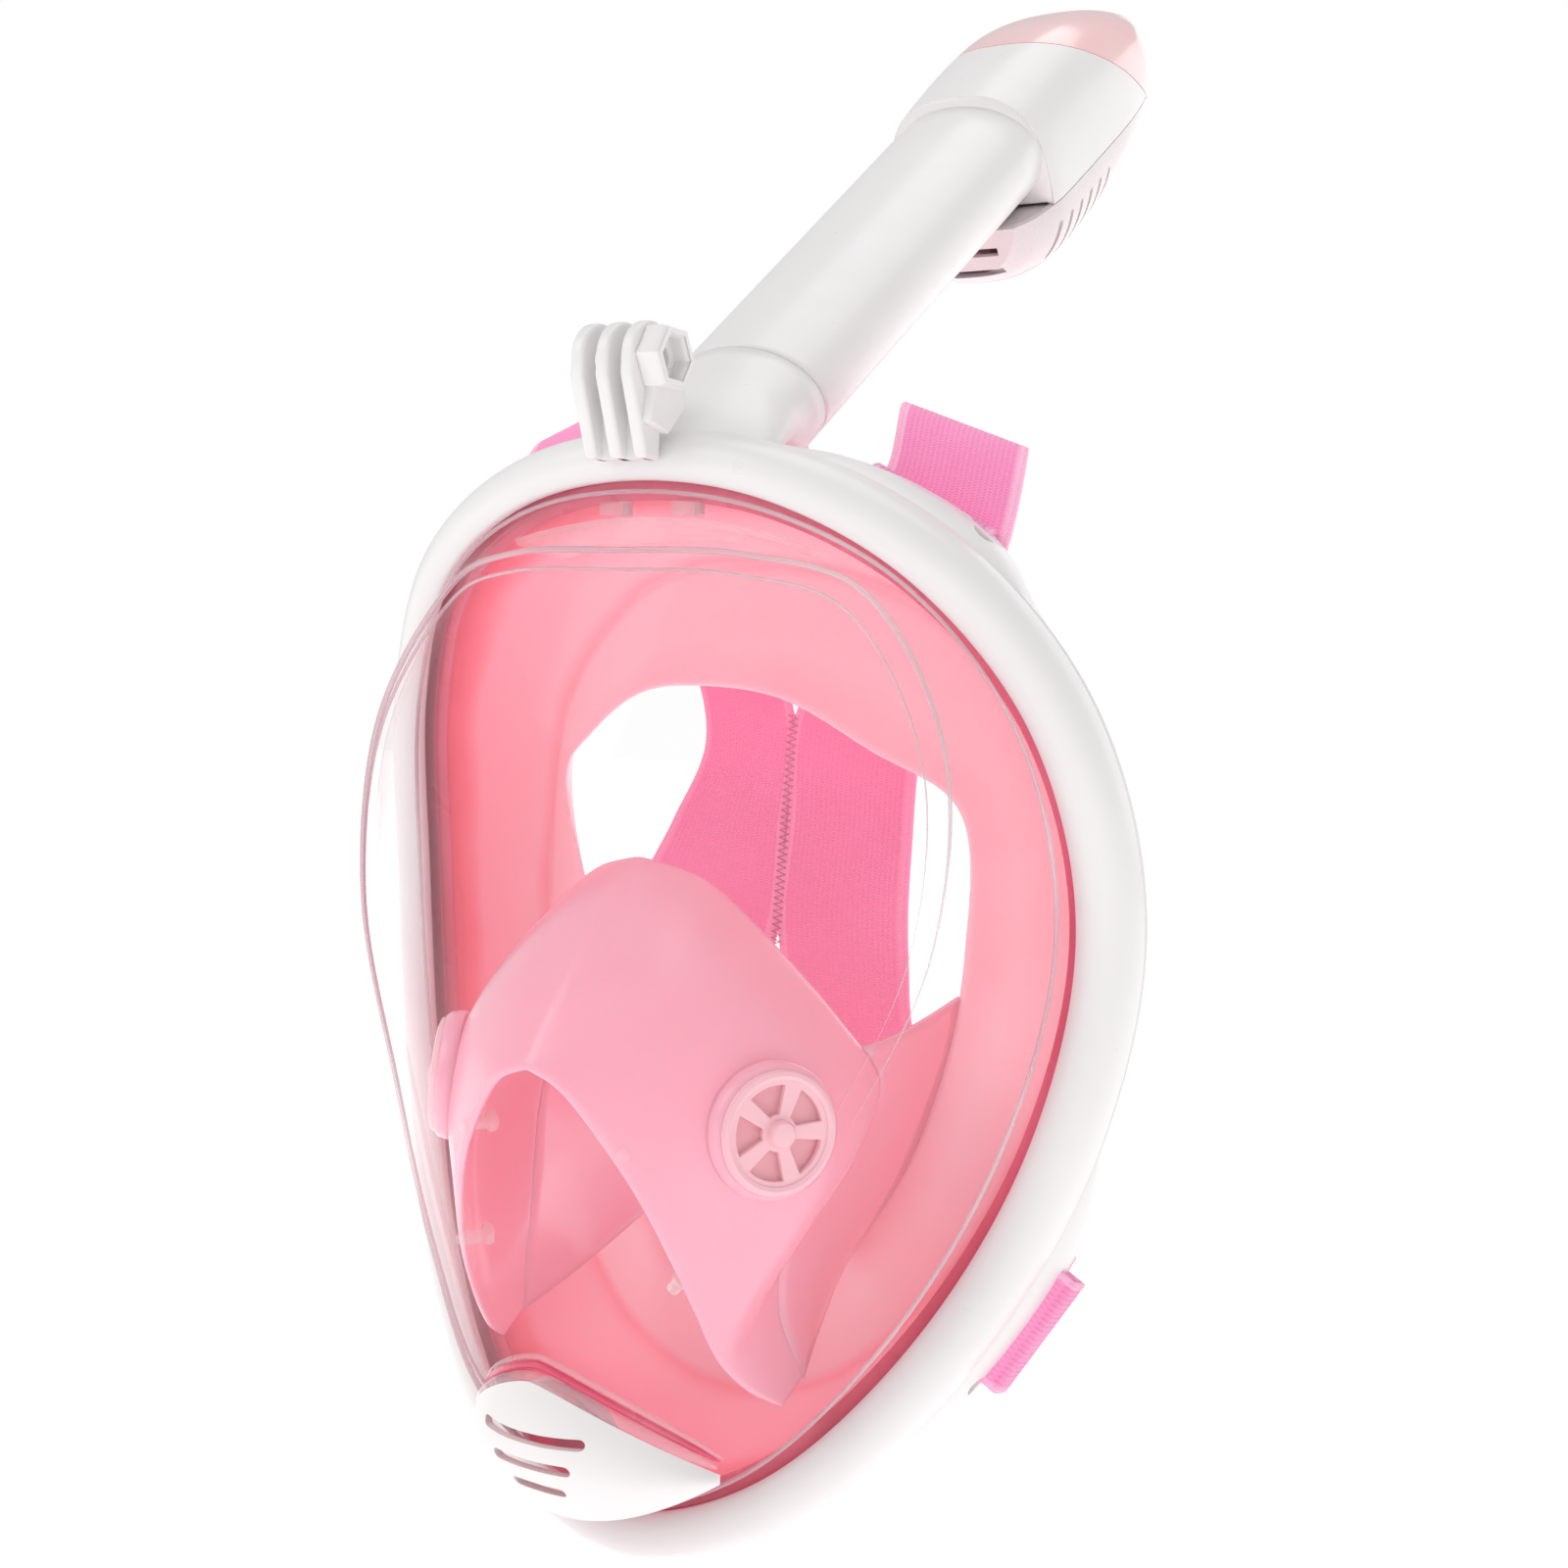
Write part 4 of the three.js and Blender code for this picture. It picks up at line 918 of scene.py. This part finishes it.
def make_chin_valve():
    rows = [[chin_point(math.sin(math.pi / 2 * (2 * u - 1)), down) for u in steps(40)] for down in steps(14)]
    thing = new_object("chin_cover_shell", make_mesh("chin_cover_shell", loft(rows, wrap_ring=False)))
    smooth(thing)
    add_thickness(thing, 1.8, -1)
    bake_modifiers(thing)
    slots = []
    for i, z in enumerate((-93.5, -99.5, -105.5)):
        turn = Matrix.Translation((0, -40, z)) @ Matrix.Rotation(math.pi / 2, 4, "Z")
        slots.append(moved(rounded_slot_across(25 - 6 * i, 2.4, 24), turn))
    cut(thing, slots)
    smooth(thing, 35)
    add_bevel(thing, 0.35, 2, 50)
    dress(thing, WHITE, "mask", ["chin_valve_cover"])
    sides = [math.sin(math.pi / 2 * (2 * u - 1)) for u in steps(48)]
    layers = [(0.35, 1.3, CLEAR, "clear"), (2.6, 0.8, RIM_RUBBER, "rim"), (4.0, 0.7, CLEAR, "clear")]
    for i, (rise, radius, look, slot) in enumerate(layers):
        path = [chin_point(0.97 * side, 0) + Vector((0, 1.5 + rise * 0.5, rise * (1 - 0.6 * side ** 4)))
                for side in sides]
        piece(f"chin_gasket_{i}", bead(path, radius, taper=10), look)
    seat_frame = facing(CHIN_CENTRE - CHIN_NORMAL * 2.6, CHIN_NORMAL)
    piece("chin_seat", moved(spoked_wheel(CHIN_RADIUS, 1.6, 6), seat_frame), PALE, nodes=["chin_valve_seat"],
          angle=40)
    disc = lathe([(0.3, 1.9), (CHIN_RADIUS - 2.8, 1.9), (CHIN_RADIUS - 2.5, 2.25),
                  (CHIN_RADIUS - 2.9, 2.6), (0.3, 2.6)], 48)
    piece("chin_disc", moved(disc, seat_frame), VALVE, body="chin_flap", nodes=["chin_flap"],
          angle=40)


def rounded_slot_across(length, height, depth):
    """A bar with a stadium section that runs along X, wide along Y and short along Z."""
    half = length / 2 - height / 2
    ring = arc(height / 2, -math.pi / 2, math.pi / 2, 8, half, 0)
    ring += arc(height / 2, math.pi / 2, 1.5 * math.pi, 8, -half, 0)
    sides = [[Vector((x, a, b)) for a, b in ring] for x in (-depth / 2, depth / 2)]
    return loft(sides, fans=True)


# ---- camera mount ----
def mount_side(x):
    """A frame for plates that stand across the mount's eye, x to its right."""
    origin = Vector((x, MOUNT_EYE.y, MOUNT_EYE.z))
    return axes(Vector((0, 1, 0)), Vector((0, 0, 1)), Vector((1, 0, 0)), origin)


def make_camera_mount():
    foot = MOUNT_FOOT - MOUNT_EYE.z
    outline = [(MOUNT_RADIUS, -6)] + arc(MOUNT_RADIUS, 0, math.pi, 20)
    outline += [(-MOUNT_RADIUS, -4), (-1.6, foot + 0.6), (-1.0, foot), (3.6, foot), (3.6, -9.6)]
    bore = arc(2.6, 0, 2 * math.pi, 28)[:-1]
    blade = plate(outline, [bore], MOUNT_PRONG, 0.7)
    shapes = []
    for x in (-MOUNT_PITCH, 0, MOUNT_PITCH):
        shapes.append(moved(blade, mount_side(x - MOUNT_PRONG / 2)))
    hexagon = arc(6.9, 0, 2 * math.pi, 6)[:-1]
    recess = arc(4.7, 0, 2 * math.pi, 6)[:-1]
    boss = plate(hexagon, [recess], 6.2, 1.5)
    floor_plate = plate(arc(5.6, 0, 2 * math.pi, 6)[:-1], [bore], 2.6, 0.2)
    shapes.append(moved(boss, mount_side(7.0)))
    shapes.append(moved(floor_plate, mount_side(7.0)))
    tie = block(2 * MOUNT_PITCH, 3, 11, 0, MOUNT_EYE.y + 2, MOUNT_FOOT + 5.5)
    gusset_outline = [(-2, -1.6), (-3.4, -13), (3.4, -14.5), (8.6, -9.2), (9.4, -6.4), (4, -1.6)]
    gusset = plate(gusset_outline, [], 2.4, 0.4)
    shapes += [tie, moved(gusset, mount_side(7.4))]
    piece("camera_mount_body", joined(*shapes), WHITE, nodes=["camera_mount"], angle=35)


# ---- snorkel ----
def tube_ring(z, inset=0, count=72):
    scale = 1 + (TUBE_FLARE - 1) * (z / TUBE_LENGTH)
    return oval(TUBE_HALF_WIDTH * scale - inset, TUBE_HALF_DEPTH * scale - inset, z, 0, count)


def make_tube():
    outer = [tube_ring(z, inset) for z, inset in ((GAP, 0.5), (GAP + 0.4, 0.05), (1.4, 0), (40, 0), (80, 0),
                                                  (120, 0), (TUBE_LENGTH - 0.5, 0), (TUBE_LENGTH, 0.4))]
    inner = [tube_ring(z, TUBE_WALL) for z in (GAP, 70, TUBE_LENGTH)][::-1]
    shapes = [loft(outer + inner, wrap_rings=True), bar_along_x(FOLD_BARREL_RADIUS, -7, 7, HINGE_Y, 0),
              block(13.4, 6.2, 3, 0, HINGE_Y - 3.2, 2.1)]
    piece("snorkel_tube_shell", moved(joined(*shapes), SNORKEL), WHITE, body="snorkel",
          nodes=["snorkel_tube"], angle=50)


def socket_rings(inset, count=72):
    foot = oval(25 - inset, 13 - inset, 106.5, -4.5, count)
    knee = [SNORKEL @ p for p in tube_ring(-9, inset, count)]
    top = [SNORKEL @ p for p in tube_ring(-GAP - 0.4, inset, count)]
    edge = [SNORKEL @ p for p in tube_ring(-GAP, inset + (0.4 if inset == 0 else 0), count)]
    middle = [p.lerp(k, 0.5) + Vector((0, 0, 1.5)) for p, k in zip(foot, knee)]
    rings = []
    for u in steps(4):
        rings.append([bend(p, m * 2 - (p + k) / 2, k, u) for p, m, k in zip(foot, middle, knee)])
    rings += [[k.lerp(t, 0.5) for k, t in zip(knee, top)], top, edge]
    return rings


def make_socket():
    shapes = [loft(socket_rings(0) + socket_rings(TUBE_WALL)[::-1], wrap_rings=True)]
    for low, high in ((7.3, 13), (-13, -7.3)):
        shapes.append(moved(bar_along_x(FOLD_BARREL_RADIUS, low, high, HINGE_Y, 0), SNORKEL))
        shapes.append(moved(block(high - low - 0.6, 7, 3, (low + high) / 2, HINGE_Y - 3.6, -2), SNORKEL))
    piece("socket_shell", joined(*shapes), WHITE, nodes=["snorkel_socket"], angle=50)


def head_section(place):
    """The height, front and back reach and half width at a place from 0 to 1 along the head's sections."""
    low = [Vector(row[:3]) for row in HEAD_SECTIONS]
    half = [Vector((row[3], 0, 0)) for row in HEAD_SECTIONS]
    here = catmull(low, place)
    return here.x, here.y, here.z, catmull(half, place).x


def head_ring(section, inset=0, count=96):
    z, front, back, half = section
    middle = (front + back) / 2
    depth = (back - front) / 2 - inset
    ring = []
    for u in turns(count):
        angle = 2 * math.pi * u
        c, s = math.cos(angle), math.sin(angle)
        x = (half - inset) * math.copysign(abs(c) ** (2 / HEAD_EXPONENT), c)
        y = middle + depth * math.copysign(abs(s) ** (2 / HEAD_EXPONENT), s)
        ring.append(Vector((x, y, z)))
    return ring


def head_skin():
    rings = [head_ring(head_section(place)) for place in steps(56)]
    first = HEAD_SECTIONS[0]
    last = HEAD_SECTIONS[-1]
    base = [head_ring((first[0], first[1] + k, first[2] - k, first[3] - k)) for k in (10, 3, 0.8)]
    dome = [head_ring((last[0] + rise, last[1] + k, last[2] - k, last[3] - k))
            for rise, k in ((-0.05, 0.9), (0.0, 2.2), (0.0, 4.5), (0.0, 6.2))]
    return loft(base + rings + dome, fans=True)


def head_shell(name, planes, cutters):
    """The part of the head's skin in front of each (point, normal) plane, made 2 mm thick."""
    mesh = make_mesh(name, head_skin())
    skin = bmesh.new()
    skin.from_mesh(mesh)
    for point, normal in planes:
        everything = skin.verts[:] + skin.edges[:] + skin.faces[:]
        bmesh.ops.bisect_plane(skin, geom=everything, plane_co=Vector(point) * MM, plane_no=Vector(normal),
                               clear_inner=True)
    skin.to_mesh(mesh)
    skin.free()
    thing = new_object(name, mesh)
    smooth(thing)
    add_thickness(thing, HEAD_WALL)
    bake_modifiers(thing)
    if cutters:
        cut(thing, cutters)
    smooth(thing, 40)
    add_bevel(thing, 0.3, 2, 55)
    bake_modifiers(thing)
    thing.data.transform(scaled(SNORKEL))
    return thing


def cover_lip():
    """The rounded step that closes the cover's front edge down onto the tube."""
    place = next(u for u in steps(400) if head_section(u)[0] >= COVER_START)
    ring = head_ring(head_section(place), 0.2)
    front = [p for p in ring[48:] + ring[:48] if p.y < COVER_FLOOR + 1]
    outer, middle, inner = [], [], []
    for p in front:
        angle = math.atan2(p.y / TUBE_HALF_DEPTH, p.x / TUBE_HALF_WIDTH)
        scale = 1 + (TUBE_FLARE - 1) * (COVER_START / TUBE_LENGTH)
        on_tube = Vector((TUBE_HALF_WIDTH * scale * math.cos(angle),
                          TUBE_HALF_DEPTH * scale * math.sin(angle), 0))
        outer.append(Vector((p.x, p.y, COVER_START + 0.5)))
        middle.append(Vector((p.x, p.y, 0)).lerp(on_tube, 0.25) + Vector((0, 0, COVER_START - 0.8)))
        inner.append(on_tube * 0.985 + Vector((0, 0, COVER_START - 1.2)))
    return loft([outer, middle, inner], wrap_ring=False)


def housing_shelf():
    """The floor beside the tube that closes the top of the valve housing, in front of the cover."""
    rows = []
    for u in steps(60):
        height, _, _, half = head_section(u)
        if height <= COVER_START + 3:
            rows.append([Vector(((half - 0.9) * k, COVER_FLOOR + 0.9, height + 0.6))
                         for k in (-1, -0.5, 0, 0.5, 1)])
    return loft(rows, wrap_ring=False)


def scaled(matrix):
    """The same placement with its origin in metres."""
    result = matrix.copy()
    result.translation = matrix.translation * MM
    return result


def make_head():
    lean = math.radians(CAP_SLANT)
    cap_normal = Vector((0, -math.sin(lean), math.cos(lean)))
    cap_point = Vector((0, 0, CAP_START))
    below_cap = (cap_point - cap_normal * GAP, -cap_normal)
    tube_room = loft([tube_ring(z, -GAP) for z in (90, TUBE_LENGTH + GAP)], fans=True)
    cover_planes = [((0, COVER_FLOOR - GAP, 0), (0, -1, 0)), ((0, 0, COVER_START), (0, 0, 1)), below_cap]
    cover = head_shell("head_cover_shell", cover_planes, [])
    dress(cover, WHITE, "snorkel", ["head_cover"])
    piece("head_cover_lip", moved(cover_lip(), SNORKEL), WHITE, body="snorkel")
    cap = head_shell("head_cap_shell", [(cap_point, cap_normal)], [])
    dress(cap, CAP, "snorkel", ["head_cap"])
    vents = []
    for side in (-1, 1):
        for i in range(6):
            slant = Matrix.Rotation(math.radians(-14), 4, "X")
            place = Matrix.Translation((side * 24, 25.5, 136 + 7 * i))
            vents.append(moved(rounded_slot_across(11, 2.0, 16), place @ slant))
    underside = [block(20, 2.2, 12, 0, y, 118) for y in (20.5, 26.5)]
    housing = head_shell("valve_housing_shell", [((0, COVER_FLOOR, 0), (0, 1, 0)), below_cap],
                         [tube_room, *vents, *underside])
    dress(housing, HOUSING, "snorkel", ["valve_housing"])
    shelf = piece("housing_shelf", moved(housing_shelf(), SNORKEL), HOUSING, body="snorkel")
    add_thickness(shelf, 1.2, 0)


# ---- straps ----
def strap_grid(side):
    """Rows of points along a strap, and for each point its place across and along the strap."""
    sign = 1 if side == "right" else -1
    pairs = BAND_TOP[side] + BAND_MIDDLE[side]
    pairs += [[(x * sign, y, z) for x, y, z in pair] for pair in BAND_FOOT]
    inner = vectors([pair[0] for pair in pairs])
    outer = vectors([pair[1] for pair in pairs])
    rows = []
    marks = []
    length = 0.0
    last = None
    for u in steps(170):
        ends = catmull(inner, u), catmull(outer, u)
        centre = (ends[0] + ends[1]) / 2
        length += (centre - last).length if last else 0.0
        last = centre
        rows.append([ends[0].lerp(ends[1], k) for k in steps(16)])
        marks += [((k - 0.5) * STRAP_WIDTH, length) for k in steps(16)]
    return rows, marks


def set_uv(thing, marks):
    layer = thing.data.uv_layers.new(name="UVMap")
    for loop in thing.data.loops:
        layer.data[loop.index].uv = marks[loop.vertex_index]


def make_straps():
    for side in ("right", "left"):
        rows, marks = strap_grid(side)
        thing = new_object(f"strap_band_{side}", make_mesh(f"strap_band_{side}", loft(rows, wrap_ring=False)))
        set_uv(thing, marks)
        smooth(thing)
        add_thickness(thing, STRAP_THICKNESS, 0)
        add_bevel(thing, 0.5, 2, 60)
        dress(thing, STRAP, "mask", [f"strap_{side}"])
    for name, (place, _) in LUGS.items():
        make_strap_loop(f"{name}_right", place)
        make_strap_loop(f"{name}_left", 1 - place)


def make_strap_loop(name, t):
    """The strap's end, folded round the lug's bar."""
    corner = 1.6
    reach, rear = (1.8, 2.4) if name.startswith("upper") else (6, 5.8)
    outline = []
    for x, y, start in ((reach - corner, rear - corner, 0), (-6 + corner, rear - corner, math.pi / 2),
                        (-6 + corner, -4.6 + corner, math.pi), (reach - corner, -4.6 + corner, 1.5 * math.pi)):
        outline += arc(corner, start, start + math.pi / 2, 6, x, y)
    length = STRAP_WIDTH - 1
    rows = [[Vector((x, y, z)) for x, y in outline] for z in [length * (u - 0.5) for u in steps(14)]]
    shape = moved(loft(rows), lug_frame(t, 10.6, BAR_BACK))
    thing = new_object(f"strap_fold_{name}", make_mesh(f"strap_fold_{name}", shape))
    perimeter = 40
    count = len(outline)
    set_uv(thing, [(length * (j / 14 - 0.5), perimeter * i / count) for j in range(15) for i in range(count)])
    smooth(thing)
    add_thickness(thing, 1.2, -1)
    add_bevel(thing, 0.4, 2, 60)
    dress(thing, STRAP, "mask", [f"strap_loop_{name}"])


def seam_x(z):
    """The seam between the two straps sways a little to the left as it goes down."""
    return -1.95 + 2.05 * max(min(z / 50, 1), -0.2)


def make_seam():
    """Zigzag stitches that hold the two bands together down the middle."""
    curve = bpy.data.curves.new("strap_stitches", "CURVE")
    curve.dimensions = "3D"
    curve.bevel_depth = 0.36 * MM
    curve.bevel_resolution = 2
    count = 34
    low, high = 13.0, 51.0
    for column in (-1, 1):
        spline = curve.splines.new("POLY")
        spline.points.add(2 * count)
        for i, point in enumerate(spline.points):
            z = low + (high - low) * i / (2 * count)
            x = seam_x(z) + column * (0.35 + (1.1 if i % 2 else 0.0))
            point.co = (x * MM, 53.5 * MM, z * MM, 1)
    front = bpy.data.curves.new("strap_stitches_front", "CURVE")
    front.dimensions = "3D"
    front.bevel_depth = 0.3 * MM
    front.bevel_resolution = 2
    spline = front.splines.new("POLY")
    spline.points.add(2 * count)
    for i, point in enumerate(spline.points):
        z = -4 + (high + 4) * i / (2 * count)
        point.co = ((seam_x(z) + (1.2 if i % 2 else -1.2)) * MM, 51.45 * MM, z * MM, 1)
    for name, data in (("strap_stitches", curve), ("strap_stitches_front", front)):
        thing = new_object(name, data)
        dress(thing, THREAD, "mask", ["strap_seam"] if name == "strap_stitches" else [])


# ---- carried-over CAD nodes ----
def dress_cad_nodes():
    looks = {"duct_plate": CLEAR, "duct_clip_right": CLEAR, "duct_clip_left": CLEAR, "fold_hinge_pin": STEEL,
             "port_plate": PALE, "float_guide_post": PALE, "float": PALE, "float_seal": VALVE,
             "head_divider": WHITE, "tube_divider": WHITE, "exhale_valve_seat": PALE, "exhale_flap": VALVE,
             "socket_seal": RIM_RUBBER}
    for name, look in looks.items():
        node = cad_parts[name]
        node.data.materials.clear()
        node.data.materials.append(look)
        if name.startswith("duct"):
            add_bevel(node, 0.4, 2, 30)


# ---- stage ----
def add_light(name, location, target, size, power, colour=(1, 1, 1)):
    data = bpy.data.lights.new(name, "AREA")
    data.shape = "RECTANGLE"
    data.size, data.size_y = size
    data.energy = power
    data.color = colour
    lamp = bpy.data.objects.new(name, data)
    lamp.location = location
    lamp.rotation_euler = (Vector(target) - Vector(location)).to_track_quat("-Z", "Y").to_euler()
    bpy.context.scene.collection.objects.link(lamp)


def make_stage():
    floor_z = cad_box[0][2] / MM - 0.5
    rings = [oval(r, r, floor_z, 0, 64) for r in (20, 400, 1500, 4000)]
    floor_shape = loft(rings, fans=False)
    hub = len(floor_shape[0])
    floor_shape = (floor_shape[0] + [Vector((0, 0, floor_z))],
                   floor_shape[1] + [(hub, i, (i + 1) % 64) for i in range(64)])
    floor = new_object("floor", make_mesh("floor", floor_shape))
    floor.data.materials.append(floor_material())
    world = bpy.data.worlds.new("studio")
    world.use_nodes = True
    background = world.node_tree.nodes["Background"]
    background.inputs["Color"].default_value = (1, 1, 1, 1)
    rays = world.node_tree.nodes.new("ShaderNodeLightPath")
    strength = remap(world.node_tree, rays.outputs["Is Camera Ray"], 0.6, 1.0)
    world.node_tree.links.new(strength, background.inputs["Strength"])
    bpy.context.scene.world = world
    add_light("key", (-0.9, -1.1, 1.2), (0, 0, 0), (0.9, 0.9), 6)
    add_light("fill", (1.5, -0.8, 0.4), (0, 0, 0), (0.7, 1.4), 0.8)
    add_light("top", (0.1, 0.3, 1.6), (0, 0, 0.05), (1.2, 1.2), 6)
    add_light("back", (0.3, 1.5, 0.5), (0, 0, 0.05), (1.4, 1.0), 3.5)
    bpy.context.scene.view_settings.view_transform = "Standard"


CAMERA_PLACE = Vector((231.424, -352.172, 58.997))


def make_camera():
    azimuth = math.radians(30)
    elevation = math.radians(3)
    roll = math.radians(2.5)
    back = Vector((math.sin(azimuth) * math.cos(elevation), -math.cos(azimuth) * math.cos(elevation),
                   math.sin(elevation)))
    right = Vector((math.cos(azimuth), math.sin(azimuth), 0))
    up = back.cross(right)
    data = bpy.data.cameras.new("camera")
    data.sensor_width = 36
    data.lens = 45
    data.clip_start = 0.01
    camera = bpy.data.objects.new("camera", data)
    rolled_right = right * math.cos(roll) + up * math.sin(roll)
    rolled_up = up * math.cos(roll) - right * math.sin(roll)
    camera.matrix_world = axes(rolled_right, rolled_up, back, CAMERA_PLACE * MM)
    bpy.context.scene.collection.objects.link(camera)
    bpy.context.scene.camera = camera


make_camera()
make_stage()
make_front_frame()
make_rear_frame()
make_lens()
make_lens_edges()
make_gasket()
make_skirt()
make_pocket()
make_pocket_web()
make_pegs()
make_inhale_valves()
make_chin_valve()
make_camera_mount()
make_tube()
make_socket()
make_head()
make_straps()
make_seam()
dress_cad_nodes()
